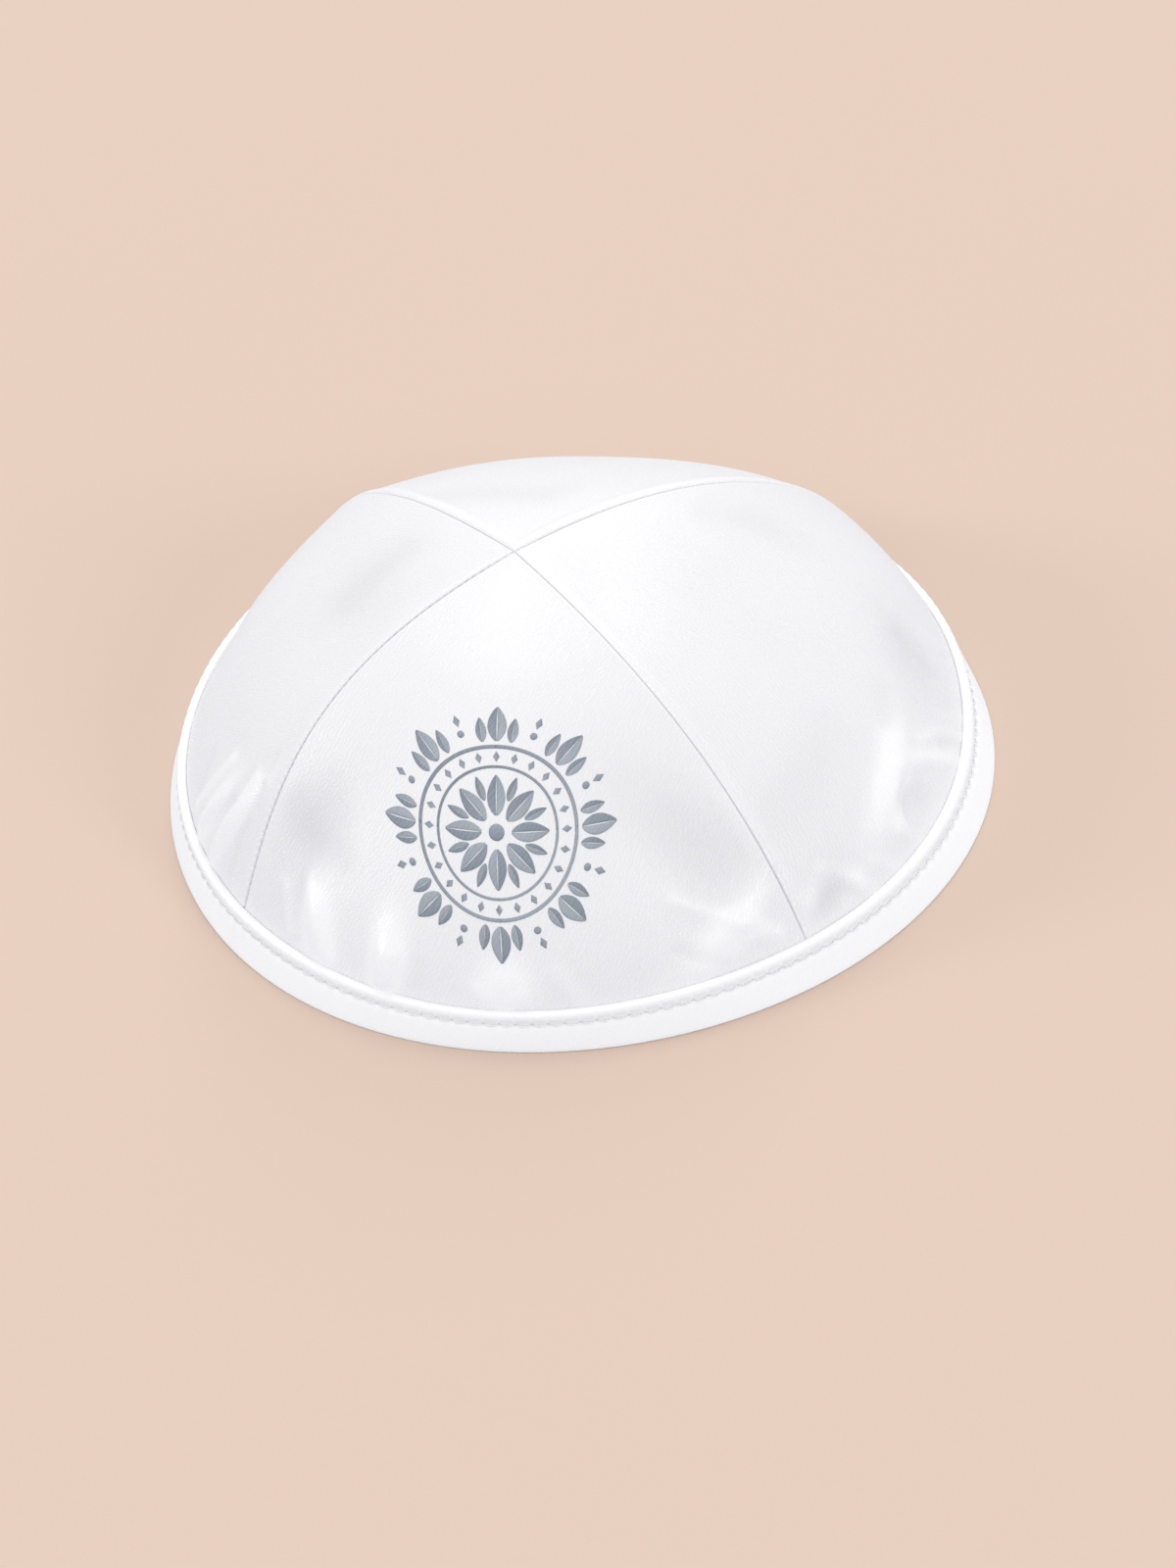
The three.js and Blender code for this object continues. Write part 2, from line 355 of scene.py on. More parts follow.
def stitch_tree() -> bpy.types.NodeTree:
    """Lays twisted two-ply stitches along a path whose points carry outward.

    Returns:
        The geometry tree.
    """
    write, given, result = new_group(
        "thread_stitches",
        "Geometry",
        {
            "Path": ("Geometry", None),
            "Count": ("Int", 10),
            "Length": ("Float", 0.0025),
            "Thickness": ("Float", 0.0004),
            "Arch": ("Float", 0.0002),
            "Twist": ("Float", 1.5),
            "Lean": ("Float", 0.0),
            "Wobble": ("Float", 0.05),
            "Steps": ("Int", 8),
            "Sides": ("Int", 5),
            "Ply": ("Float", 0.3),
            "Apart": ("Float", 0.24),
            "Seed": ("Int", 5),
            "Material": ("Material", None),
        },
        {"Stitches": "Geometry"},
    )
    curve = write.add("GeometryNodeMeshToCurve", {"Mesh": given["Path"]}).outputs[0]
    spots = write.add("GeometryNodeCurveToPoints", {"Curve": curve, "Count": given["Count"]}, mode="COUNT")
    outward = write.stored("outward", "FLOAT_VECTOR")
    facing = write.add("FunctionNodeAlignRotationToVector", {"Vector": outward}, axis="Z")
    pointing = write.add(
        "FunctionNodeAlignRotationToVector",
        {"Rotation": facing.outputs[0], "Vector": spots.outputs["Tangent"]},
        axis="X",
        pivot_axis="Z",
    )
    chance = write.add(
        "FunctionNodeRandomValue",
        {2: write.times(given["Wobble"], -1.0), 3: given["Wobble"], "Seed": given["Seed"]},
        data_type="FLOAT",
    )
    tilt = write.add("ShaderNodeCombineXYZ", {"Z": write.math("ADD", chance.outputs[1], given["Lean"])})
    turned = write.add(
        "FunctionNodeRotateRotation",
        {"Rotation": pointing.outputs[0], "Rotate By": tilt.outputs[0]},
        rotation_space="LOCAL",
    )
    half = write.times(given["Length"], 0.5)
    start = write.add("ShaderNodeCombineXYZ", {"X": write.times(half, -1.0)})
    end = write.add("ShaderNodeCombineXYZ", {"X": half})
    line = write.add("GeometryNodeCurvePrimitiveLine", {"Start": start.outputs[0], "End": end.outputs[0]})
    fine = write.add("GeometryNodeResampleCurve", {"Curve": line.outputs[0], "Count": given["Steps"]})
    arch_power, taper_power, thin_end = 0.6, 0.5, 0.4
    share = write.add("GeometryNodeSplineParameter").outputs["Factor"]
    belly = write.math("SINE", write.times(share, math.pi))
    ply_radius = write.times(given["Thickness"], given["Ply"])
    ring = write.add("GeometryNodeCurvePrimitiveCircle", {"Resolution": given["Sides"], "Radius": ply_radius})
    reach = write.times(given["Thickness"], given["Apart"])
    arch = write.times(write.math("SUBTRACT", write.math("POWER", belly, arch_power), 0.5), given["Arch"])
    taper = write.math("MULTIPLY_ADD", write.math("POWER", belly, taper_power), 1 - thin_end, thin_end)
    both = write.add("GeometryNodeJoinGeometry")
    for first in (0.0, math.pi):
        angle = write.math("MULTIPLY_ADD", write.times(share, given["Twist"]), 2 * math.pi, first)
        aside = write.times(write.math("SINE", angle), reach)
        above = write.times(write.math("COSINE", angle), reach)
        shift = write.add("ShaderNodeCombineXYZ", {"Y": aside, "Z": write.math("ADD", above, arch)})
        ply = write.add("GeometryNodeSetPosition", {"Geometry": fine.outputs[0], "Offset": shift.outputs[0]})
        thick = write.add("GeometryNodeSetCurveRadius", {"Curve": ply.outputs[0], "Radius": taper})
        radius = write.add("GeometryNodeInputRadius")
        tube = write.add(
            "GeometryNodeCurveToMesh",
            {
                "Curve": thick.outputs[0],
                "Profile Curve": ring.outputs[0],
                "Scale": radius.outputs[0],
                "Fill Caps": True,
            },
        )
        write.join(tube.outputs[0], both.inputs[0])
    laid = write.add(
        "GeometryNodeInstanceOnPoints",
        {"Points": spots.outputs["Points"], "Instance": both.outputs[0], "Rotation": turned.outputs[0]},
    )
    real = write.add("GeometryNodeRealizeInstances", {"Geometry": laid.outputs[0]})
    soft = write.add("GeometryNodeSetShadeSmooth", {"Geometry": real.outputs[0]}).outputs[0]
    dressed = write.add("GeometryNodeSetMaterial", {"Geometry": soft, "Material": given["Material"]})
    write.join(dressed.outputs[0], result["Stitches"])
    return write.tree


# Finishes


def weave_group() -> bpy.types.NodeTree:
    """Fine lines that wander over the cloth like a maze, as a height and a fleck from 0 to 1.

    Returns:
        The shader group.
    """
    write, given, result = new_group(
        "satin_weave",
        "Shader",
        {
            "Place": ("Vector", None),
            "Threads": ("Float", 40.0),
            "Slant": ("Float", 0.6),
            "Waver": ("Float", 6.0),
            "Crinkle": ("Float", 0.4),
            "Grit": ("Float", 6.5),
        },
        {"Height": "Float", "Fleck": "Float"},
    )
    turn = write.add("ShaderNodeCombineXYZ", {"Z": given["Slant"]})
    lain = write.add("ShaderNodeMapping", {"Vector": given["Place"], "Rotation": turn.outputs[0]})
    maze = write.add(
        "ShaderNodeTexWave",
        {
            "Vector": lain.outputs[0],
            "Scale": given["Threads"],
            "Distortion": given["Waver"],
            "Detail": 1.5,
            "Detail Scale": 1.4,
            "Detail Roughness": 0.6,
        },
        wave_type="BANDS",
        bands_direction="X",
    )
    grit = write.add(
        "ShaderNodeTexNoise",
        {"Vector": lain.outputs[0], "Scale": write.times(given["Threads"], given["Grit"]), "Detail": 1.0},
    )
    specks = write.add("ShaderNodeMapRange", {"Value": grit.outputs[0], "From Min": 0.3, "From Max": 0.7})
    blend = write.add("ShaderNodeMix", {0: given["Crinkle"], 2: maze.outputs["Fac"], 3: specks.outputs[0]})
    write.join(blend.outputs[0], result["Height"])
    write.join(blend.outputs[0], result["Fleck"])
    return write.tree


def tone_group() -> bpy.types.NodeTree:
    """Cloth's colour and roughness, with soft patches, painted highlights on crests, painted shade and a duller
    finish in hollows, and painted shade in creases.

    Returns:
        The shader group.
    """
    write, given, result = new_group(
        "cloth_tone",
        "Shader",
        {
            "Place": ("Vector", None),
            "Light": ("Color", (0.9, 0.9, 0.9, 1.0)),
            "Shade": ("Color", (0.7, 0.7, 0.7, 1.0)),
            "Painted Shade Colour": ("Color", (0.2, 0.2, 0.2, 1.0)),
            "Patches": ("Float", 30.0),
            "Fleck": ("Float", 0.5),
            "Ground": ("Float", 0.2),
            "Patch Share": ("Float", 0.19),
            "Fleck Share": ("Float", 0.28),
            # Relief paints a highlight on crests and shade in hollows; Relief Share sets how strongly.
            "Relief Share": ("Float", -0.7),
            "Relief": ("Float", 0.0),
            "Painted Shade": ("Float", 0.0),
            "Roughness": ("Float", 0.4),
            "Roughness Share": ("Float", 0.08),
        },
        {"Colour": "Color", "Roughness": "Float"},
    )
    clouds = {"Vector": given["Place"], "Scale": given["Patches"], "Detail": 3.0}
    cloud = write.add("ShaderNodeTexNoise", clouds).outputs[0]
    softened = {"Value": cloud, "From Min": 0.35, "From Max": 0.7, "To Max": 0.5}
    patch = write.add("ShaderNodeMapRange", softened)
    specks = write.math("MULTIPLY_ADD", given["Fleck"], given["Fleck Share"], given["Ground"])
    patched = write.math("MULTIPLY_ADD", patch.outputs[0], given["Patch Share"], specks)
    # Painted highlight and shade: crests turn the colour towards Light and hollows towards Shade.
    share = write.math("MULTIPLY_ADD", given["Relief"], given["Relief Share"], patched)
    colour = write.mixed(share, given["Light"], given["Shade"])
    # Painted shade: the colour darkens towards Painted Shade Colour in seams, needle holes and under the welt.
    with_painted_shade = write.mixed(given["Painted Shade"], colour, given["Painted Shade Colour"])
    write.join(with_painted_shade, result["Colour"])
    rough = write.math("MULTIPLY_ADD", share, given["Roughness Share"], given["Roughness"])
    write.join(rough, result["Roughness"])
    return write.tree


@dataclass(frozen=True)
class ClothFinish:
    """A woven finish: its colours, how it shines and how its threads lie."""

    name: str
    # light and shade are mixed by random patches and flecks, and by the painted highlight on crests and painted
    # shade in hollows.
    light: Colour
    shade: Colour
    # deep is the colour of the painted shade in seams, needle holes and under the welt.
    deep: Colour
    roughness: float
    sheen: float
    specular: float
    threads: float
    slant: float
    waver: float
    crinkle: float
    bump: float
    patches: float = 25.0
    sheen_roughness: float = 0.4
    thread_height: float = 0.15 * MM

    def material(self) -> bpy.types.Material:
        """Makes the finish.

        Returns:
            The material.
        """
        made, write = new_material(self.name)
        place = write.add("ShaderNodeTexCoord")
        weave = {"Threads": self.threads, "Slant": self.slant, "Waver": self.waver, "Crinkle": self.crinkle}
        fleck, normal = woven(write, self.bump, self.thread_height, weave)
        tone = write.add(
            "ShaderNodeGroup",
            {
                "Place": place.outputs["Object"],
                "Light": self.light,
                "Shade": self.shade,
                "Painted Shade Colour": self.deep,
                "Patches": self.patches,
                "Fleck": fleck,
                # Painted shade in seams, needle holes and under the welt, and painted highlight and shade on
                # crests and hollows.
                "Painted Shade": write.seen("painted_shade"),
                "Relief": write.seen("relief"),
                "Roughness": self.roughness,
            },
            node_tree=bpy.data.node_groups["cloth_tone"],
        )
        shine(write, {
            "Base Color": tone.outputs["Colour"],
            "Roughness": tone.outputs["Roughness"],
            "Normal": normal,
            "Specular IOR Level": self.specular,
            "Sheen Weight": self.sheen,
            "Sheen Roughness": self.sheen_roughness,
        })
        return made


# Each finish's deep colour is its painted shade colour.
SATIN = ClothFinish(
    "white_satin", light=(0.93, 0.925, 0.94, 1), shade=(0.70, 0.695, 0.715, 1), deep=(0.40, 0.39, 0.43, 1),
    roughness=0.35, sheen=0.15, specular=0.7, threads=40, slant=0.5, waver=7.0, crinkle=0.45, bump=0.42,
)
TAPE = ClothFinish(
    "tape_satin", light=(0.985, 0.98, 0.985, 1), shade=(0.94, 0.935, 0.945, 1), deep=(0.5, 0.49, 0.52, 1),
    roughness=0.42, sheen=0.2, specular=0.5, threads=44, slant=0.8, waver=4.0, crinkle=0.5, bump=0.25,
)
THREAD = ClothFinish(
    "white_thread", light=(0.92, 0.92, 0.93, 1), shade=(0.84, 0.84, 0.86, 1), deep=(0.4, 0.4, 0.42, 1),
    roughness=0.5, sheen=0.2, specular=0.4, threads=60, slant=0.4, waver=2.0, crinkle=0.5, bump=0.2,
)


@dataclass(frozen=True)
class InkFinish:
    """Printed ink that lets the weave show, with painted light and shade: lighter towards the top of each
    motif.
    """

    name: str = "print_ink"
    light: Colour = (0.39, 0.43, 0.48, 1.0)
    dark: Colour = (0.19, 0.23, 0.275, 1.0)
    threads: float = 40.0
    wear: float = 0.3
    bump: float = 0.2
    thread_height: float = 0.2 * MM
    roughness: float = 0.5
    specular: float = 0.4

    def material(self) -> bpy.types.Material:
        """Makes the finish.

        Returns:
            The material.
        """
        made, write = new_material(self.name)
        fleck, normal = woven(write, self.bump, self.thread_height, {"Threads": self.threads})
        # The weave's fleck and the ornament's painted light and shade set how dark the ink is.
        weave_and_shading = write.math("MULTIPLY_ADD", fleck, self.wear, write.seen("shading"))
        shine(write, {
            "Base Color": write.mixed(write.math("SUBTRACT", weave_and_shading, self.wear / 2), self.light, self.dark),
            "Normal": normal,
            "Roughness": self.roughness,
            "Specular IOR Level": self.specular,
        })
        return made


@dataclass(frozen=True)
class FloorFinish:
    """Matt painted studio floor with a faint mottle, which sends plain grey light back to the cap."""

    name: str = "studio_floor"
    colour: Colour = (0.714, 0.558, 0.461, 1.0)
    mottle: Colour = (0.706, 0.551, 0.455, 1.0)
    bounce: Colour = (0.64, 0.64, 0.66, 1.0)
    roughness: float = 0.95
    specular: float = 0.1

    def material(self) -> bpy.types.Material:
        """Makes the finish.

        Returns:
            The material.
        """
        made, write = new_material(self.name)
        place = write.add("ShaderNodeTexCoord").outputs["Object"]
        cloud = write.add("ShaderNodeTexNoise", {"Vector": place, "Scale": 6.0, "Detail": 4.0})
        colour = write.mixed(cloud.outputs[0], self.colour, self.mottle)
        seen = write.add("ShaderNodeLightPath").outputs["Is Camera Ray"]
        shine(write, {
            "Base Color": write.mixed(seen, self.bounce, colour),
            "Roughness": self.roughness,
            "Specular IOR Level": self.specular,
        })
        return made


# The cap's form


@dataclass(frozen=True)
class Fold:
    """A dent or pucker.

    across is -1 at a panel's first seam and 1 at its second. up, long and wide are shares of the slant,
    turn is in degrees, and depth is a share of the fold depth, out where positive.
    """

    across: float
    up: float
    long: float
    wide: float
    turn: float
    depth: float


@dataclass(frozen=True)
class Ridge:
    """A soft pleat or furrow along a line of places, each an (across, up) pair as in Fold.

    wide is its half width and depth its height in millimetres, out where positive.
    """

    places: tuple[tuple[float, float], ...]
    wide: float
    depth: float


@dataclass(frozen=True)
class Lip:
    """How a panel's turned edge climbs out of its seam, in metres.

    It climbs over a short way and puffs up around puff_at. hold is how firmly the stitches pull at it, within
    hold_reach. strip is the height of a flat strip beside the seam. shadow is how far the seam's painted shadow
    line reaches, and beat how far the stitches break it up, as a share.
    """

    climb: float
    puff: float
    puff_at: float
    puff_spread: float
    hold: float
    hold_reach: float
    strip: float = 0.0
    strip_width: float = 1.0 * MM
    strip_fade: float = 0.35 * MM
    shadow: float = 0.16 * MM
    beat: float = 0.15


class SeamEdge(Enum):
    """The ways in which a panel meets a seam."""

    CRISP = Lip(
        climb=0.20 * MM, puff=0.05 * MM, puff_at=0.6 * MM, puff_spread=0.5 * MM,
        hold=0.25, hold_reach=0.6 * MM,
    )
    STRIP = Lip(
        climb=0.22 * MM, puff=0.08 * MM, puff_at=2.0 * MM, puff_spread=1.0 * MM,
        hold=0.9, hold_reach=0.9 * MM, strip=0.10 * MM, strip_width=0.75 * MM,
    )
    PUFFED = Lip(
        climb=0.35 * MM, puff=0.30 * MM, puff_at=1.9 * MM, puff_spread=1.3 * MM,
        hold=0.8, hold_reach=1.5 * MM,
    )
    DASHED = Lip(
        climb=0.28 * MM, puff=0.06 * MM, puff_at=1.4 * MM, puff_spread=1.0 * MM,
        hold=2.0, hold_reach=0.8 * MM, shadow=0.38 * MM, beat=0.85,
    )


@dataclass(frozen=True)
class Seam:
    """A seam: its place in degrees, how much fuller the cap is there half way up, and its depth, which also
    sets its painted shadow.
    """

    azimuth: float
    fullness: float
    depth: float


@dataclass(frozen=True)
class Gore:
    """One panel between two seams: its folds, how its two edges are sewn and the pitch of their stitches."""

    name: str
    fullness: float
    first: SeamEdge
    second: SeamEdge
    pitch: float
    folds: tuple[Fold, ...]
    ridges: tuple[Ridge, ...]

    def side(self, share: Array, reading: str) -> Array:
        """One reading of the nearer edge's lip at each share of the way across."""
        return np.where(share < 0.5, getattr(self.first.value, reading), getattr(self.second.value, reading))


SEAMS = (
    Seam(azimuth=-133.8, fullness=-0.021, depth=0.8),
    Seam(azimuth=-44.5, fullness=-0.013, depth=0.36),
    Seam(azimuth=49.8, fullness=0.06, depth=0.7),
    Seam(azimuth=141.9, fullness=-0.008, depth=0.6),
)

GORES = (
    Gore(
        "front_panel", fullness=0.026, first=SeamEdge.CRISP, second=SeamEdge.CRISP, pitch=1.4 * MM,
        folds=(
            Fold(-0.78, 0.30, 0.13, 0.07, 20, -0.9),
            Fold(-0.66, 0.15, 0.08, 0.035, -15, 0.8),
            Fold(-0.37, 0.14, 0.07, 0.03, 5, 0.9),
            Fold(0.03, 0.12, 0.05, 0.05, 0, 0.6),
            Fold(0.82, 0.16, 0.12, 0.035, 60, 0.7),
            Fold(0.78, 0.31, 0.14, 0.08, -25, -0.8),
        ),
        ridges=(
            Ridge(((-0.74, 0.22), (-0.66, 0.16), (-0.59, 0.10)), 2.2, 0.50),
            Ridge(((-0.84, 0.17), (-0.77, 0.11)), 1.6, 0.35),
            Ridge(((-0.355, 0.15), (-0.38, 0.09)), 2.8, 0.70),
            Ridge(((-0.25, 0.14), (-0.27, 0.08)), 1.5, -0.20),
            Ridge(((-0.06, 0.12), (0.02, 0.085), (0.08, 0.11)), 1.4, 0.25),
            Ridge(((0.20, 0.15), (0.27, 0.09)), 1.6, 0.22),
            Ridge(((0.64, 0.23), (0.80, 0.17), (0.92, 0.11)), 2.2, 0.50),
            Ridge(((0.60, 0.14), (0.72, 0.10)), 1.6, -0.25),
            Ridge(((-0.92, 0.31), (-0.80, 0.26), (-0.62, 0.26)), 4.5, -0.40),
            Ridge(((0.0, 0.86), (0.0, 0.70)), 9.0, 0.24),
        ),
    ),
    Gore(
        "right_panel", fullness=-0.036, first=SeamEdge.STRIP, second=SeamEdge.CRISP, pitch=1.3 * MM,
        folds=(
            Fold(-0.85, 0.12, 0.05, 0.035, 50, -0.8),
            Fold(-0.36, 0.12, 0.06, 0.045, 60, -1.0),
            Fold(-0.38, 0.19, 0.11, 0.03, 75, 0.9),
            Fold(0.25, 0.20, 0.12, 0.07, 70, -0.6),
        ),
        ridges=(
            Ridge(((-0.10, 0.09), (-0.22, 0.155), (-0.36, 0.19), (-0.47, 0.175), (-0.50, 0.13)), 1.8, 0.55),
            Ridge(((-0.50, 0.13), (-0.46, 0.07), (-0.39, 0.03)), 1.8, 0.45),
            Ridge(((-0.30, 0.13), (-0.37, 0.08)), 3.6, 0.75),
            Ridge(((-0.35, 0.15), (-0.41, 0.11)), 2.6, 0.70),
            Ridge(((-0.08, 0.25), (-0.20, 0.235)), 2.6, -0.40),
            Ridge(((-0.93, 0.13), (-0.88, 0.145), (-0.82, 0.14), (-0.76, 0.12)), 2.4, 0.50),
            Ridge(((-0.16, 0.17), (-0.04, 0.13), (0.02, 0.08)), 1.3, 0.30),
            Ridge(((-0.10, 0.12), (-0.03, 0.08)), 1.3, -0.30),
            Ridge(((0.02, 0.13), (0.10, 0.08)), 1.3, 0.25),
            Ridge(((-0.84, 0.17), (-0.78, 0.14), (-0.72, 0.08)), 1.5, 0.35),
            Ridge(((-0.66, 0.12), (-0.60, 0.08)), 1.5, 0.22),
            Ridge(((0.30, 0.22), (0.22, 0.12)), 2.4, -0.35),
            Ridge(((0.42, 0.24), (0.38, 0.13)), 2.2, 0.25),
            Ridge(((0.72, 0.50), (0.58, 0.42)), 5.0, -0.25),
            Ridge(((-0.50, 0.80), (-0.10, 0.84)), 8.0, -0.40),
            Ridge(((-0.45, 0.31), (-0.85, 0.29)), 6.0, -0.40),
            Ridge(((0.74, 0.57), (0.68, 0.47)), 5.0, -0.35),
        ),
    ),
    Gore(
        "back_panel", fullness=-0.02, first=SeamEdge.PUFFED, second=SeamEdge.PUFFED, pitch=1.0 * MM,
        folds=(
            Fold(-0.50, 0.16, 0.07, 0.04, 10, 0.7),
            Fold(0.35, 0.15, 0.08, 0.045, -15, -0.7),
        ),
        ridges=(
            Ridge(((-0.30, 0.20), (-0.24, 0.10)), 2.0, 0.30),
            Ridge(((0.10, 0.18), (0.16, 0.09)), 1.8, 0.25),
            Ridge(((0.62, 0.22), (0.55, 0.10)), 2.0, 0.35),
            Ridge(((-0.72, 0.20), (-0.80, 0.10)), 1.8, 0.30),
            Ridge(((0.70, 0.67), (-0.10, 0.70)), 7.0, -0.50),
        ),
    ),
    Gore(
        "left_panel", fullness=-0.013, first=SeamEdge.CRISP, second=SeamEdge.DASHED, pitch=1.9 * MM,
        folds=(
            Fold(0.62, 0.15, 0.09, 0.025, 15, 0.9),
            Fold(0.80, 0.20, 0.12, 0.022, 20, 0.8),
            Fold(-0.40, 0.16, 0.07, 0.04, -10, -0.6),
        ),
        ridges=(
            Ridge(((0.58, 0.26), (0.52, 0.17), (0.48, 0.11)), 1.7, 0.55),
            Ridge(((0.72, 0.22), (0.62, 0.12), (0.54, 0.07)), 1.2, -0.35),
            Ridge(((0.81, 0.30), (0.78, 0.22), (0.74, 0.13), (0.76, 0.07)), 1.6, 0.55),
            Ridge(((0.88, 0.30), (0.86, 0.17), (0.87, 0.10)), 1.2, -0.35),
            Ridge(((0.0, 0.62), (0.5, 0.66)), 11.0, -0.40),
            Ridge(((0.86, 0.36), (0.90, 0.26)), 1.2, -0.25),
            Ridge(((0.40, 0.20), (0.46, 0.09)), 1.6, -0.25),
            Ridge(((-0.10, 0.18), (-0.04, 0.09)), 1.8, 0.25),
            Ridge(((-0.35, 0.70), (0.15, 0.58)), 7.0, -0.60),
        ),
    ),
)


@dataclass
class CapForm:
    """The cap's outer surface, with the same sizes as the solid model, in metres, degrees and shares.

    The cloth turns from level at the rim to square within upright_reach, in binding widths. widest_span
    limits the stretch over which its direction is measured, as a share of a panel.
    """

    rim_across: float = 170 * MM
    crown_height: float = 58 * MM
    cloth: float = 1.0 * MM
    clearance: float = 0.3 * MM
    binding_width: float = 9 * MM
    crown_left: float = 5.9 * MM
    crown_forward: float = 3.4 * MM
    slump_power: float = 1.65
    rim_diagonal: float = -1.5 * MM
    rim_egg: float = 1.2 * MM
    rim_rise: float = 71.5
    rim_reach: float = 0.515
    crown_fall: float = 3.0
    crown_reach: float = 0.285
    flat_low: float = -0.1
    flat_middle: float = 0.1
    flat_top: float = 0.29
    seam_span: float = 2.4 * MM
    widest_span: float = 0.25
    upright_reach: float = 3.0
    fold_depth: float = 1.6 * MM
    seam_sink: float = 0.42 * MM
    sink_power: float = 1.6
    crown_depth: float = 0.55
    rim_fade: float = 5 * MM
    seam_fade: float = 5 * MM
    tip_fade: float = 8 * MM
    crown_fade: tuple[float, float] = (2 * MM, 12 * MM)
    curve_steps: int = 401
    offset: Array = field(default_factory=lambda: np.zeros(3))

    def __post_init__(self) -> None:
        """Measures the seam's profile."""
        self.binding_proud = self.clearance + self.cloth
        self.rim_radius = self.rim_across / 2 - self.binding_proud
        self.curve_shares = np.linspace(0, 1, self.curve_steps)
        r, z = self.profile(self.curve_shares)
        self.lengths = np.concatenate([[0], np.cumsum(np.hypot(np.diff(r), np.diff(z)))])
        self.slant = float(self.lengths[-1])

    def profile(self, t: Array) -> tuple[Array, Array]:
        """Follows the seam's Bezier curve from the rim to the crown.

        Args:
            t: shares of the curve's parameter.

        Returns:
            Radii and heights in metres.
        """
        rise, fall = math.radians(self.rim_rise), math.radians(self.crown_fall)
        straight = math.hypot(self.rim_radius, self.crown_height)
        low, high = self.rim_reach * straight, self.crown_reach * straight
        corners = np.array([
            (self.rim_radius, 0),
            (self.rim_radius - low * math.cos(rise), low * math.sin(rise)),
            (high * math.cos(fall), self.crown_height - high * math.sin(fall)),
            (0, self.crown_height),
        ])
        shares = np.array([(1 - t) ** 3, 3 * t * (1 - t) ** 2, 3 * t * t * (1 - t), t ** 3])
        return np.tensordot(corners[:, 0], shares, 1), np.tensordot(corners[:, 1], shares, 1)

    def curve_share(self, up: Array) -> Array:
        """Where on the profile's curve a share of its length lies."""
        return np.interp(np.clip(up, 0, 1) * self.slant, self.lengths, self.curve_shares)

    def panel_width(self, up: Array) -> Array:
        """Width of a quarter of the cap at a height."""
        return np.maximum(self.profile(self.curve_share(up))[0], 1e-6) * 2 * QUARTER

    def flatness(self, t: Array) -> Array:
        """How far a level section has straight sides."""
        middle = 4 * t * (1 - t)
        return self.flat_low * middle * (1 - t) ** 2 + self.flat_middle * middle + self.flat_top * t * t

    def point(self, turn: Array, up: Array) -> Array:
        """A point of the smooth surface.

        Args:
            turn: panels round the cap, from the front panel's first seam.
            up: share of the slant from rim to crown.

        Returns:
            Positions in metres.
        """
        turn, up = np.broadcast_arrays(np.asarray(turn, float), np.asarray(up, float))
        lap = np.mod(turn, SEAM_COUNT)
        panel = np.minimum(np.floor(lap).astype(int), SEAM_COUNT - 1)
        share = lap - panel
        starts = np.array([seam.azimuth for seam in SEAMS])
        spans = np.mod(np.roll(starts, -1) - starts, 360)
        azimuth = np.radians(starts[panel] + spans[panel] * share)
        t = self.curve_share(up)
        radius, z = self.profile(t)
        height = np.clip(z / self.crown_height, 0, 1)

        from_seam = 2 * QUARTER * np.minimum(share, 1 - share)
        chord = 1 - math.cos(QUARTER) / np.cos(QUARTER - from_seam)
        squareness = 1 - self.flatness(t) * chord / (1 - math.cos(QUARTER))

        corner = np.cos(2 * from_seam) ** 2
        at_seams = np.array([seam.fullness for seam in SEAMS])
        at_panels = np.array([gore.fullness for gore in GORES])
        seam = np.where(share < 0.5, panel, (panel + 1) % SEAM_COUNT)
        body = 4 * height * (1 - height)
        fullness = 1 + body * (at_seams[seam] * corner + at_panels[panel] * (1 - corner))

        plan = self.rim_diagonal * np.sin(2 * azimuth) + self.rim_egg * np.cos(3 * azimuth)
        radius = radius * squareness * fullness * (1 + plan / self.rim_radius * (1 - height))
        slump = height ** self.slump_power
        x = radius * np.cos(azimuth) - self.crown_left * slump
        y = radius * np.sin(azimuth) - self.crown_forward * slump
        return np.stack([x, y, z], -1) + self.offset

    def outward(self, turn: Array, up: Array) -> Array:
        """Directions out of the cloth: level at the rim and square to the cloth further up.

        Args:
            turn: panels round the cap, as in point.
            up: share of the slant.

        Returns:
            Directions of length 1.
        """
        across = np.minimum(self.seam_span / self.panel_width(up), self.widest_span)
        along = self.seam_span / self.slant
        sideways = self.point(turn + across, up) - self.point(turn - across, up)
        upwards = self.point(turn, up + along) - self.point(turn, up - along)
        normal = unit(np.cross(sideways, upwards))
        level = unit(normal * (1, 1, 0))
        share = smooth(np.asarray(up) * self.slant, 0, self.upright_reach * self.binding_width)[..., None]
        return unit(level * (1 - share) + normal * share)

    def folds(self, panel: int, share: Array, up: Array) -> Array:
        """How far a panel's folds move its cloth.

        Args:
            panel: the panel's number.
            share: place between its two seams.
            up: share of the slant.

        Returns:
            Distances in metres, out where positive.
        """
        width = self.panel_width(up)
        total = np.zeros(np.broadcast(share, up).shape)
        for fold in GORES[panel].folds:
            aside = (share - (1 + fold.across) / 2) * width
            above = (up - fold.up) * self.slant
            lean = math.radians(fold.turn)
            on_length = (above * math.cos(lean) + aside * math.sin(lean)) / (fold.long * self.slant)
            on_width = (aside * math.cos(lean) - above * math.sin(lean)) / (fold.wide * self.slant)
            total += fold.depth * self.fold_depth * np.exp(-on_length ** 2 - on_width ** 2)
        for ridge in GORES[panel].ridges:
            total += ridge.depth * MM * np.exp(-(self.away(ridge, share, up) / (ridge.wide * MM)) ** 2)
        from_seam = width * np.minimum(share, 1 - share)
        return total * smooth(from_seam, 0, self.seam_fade)

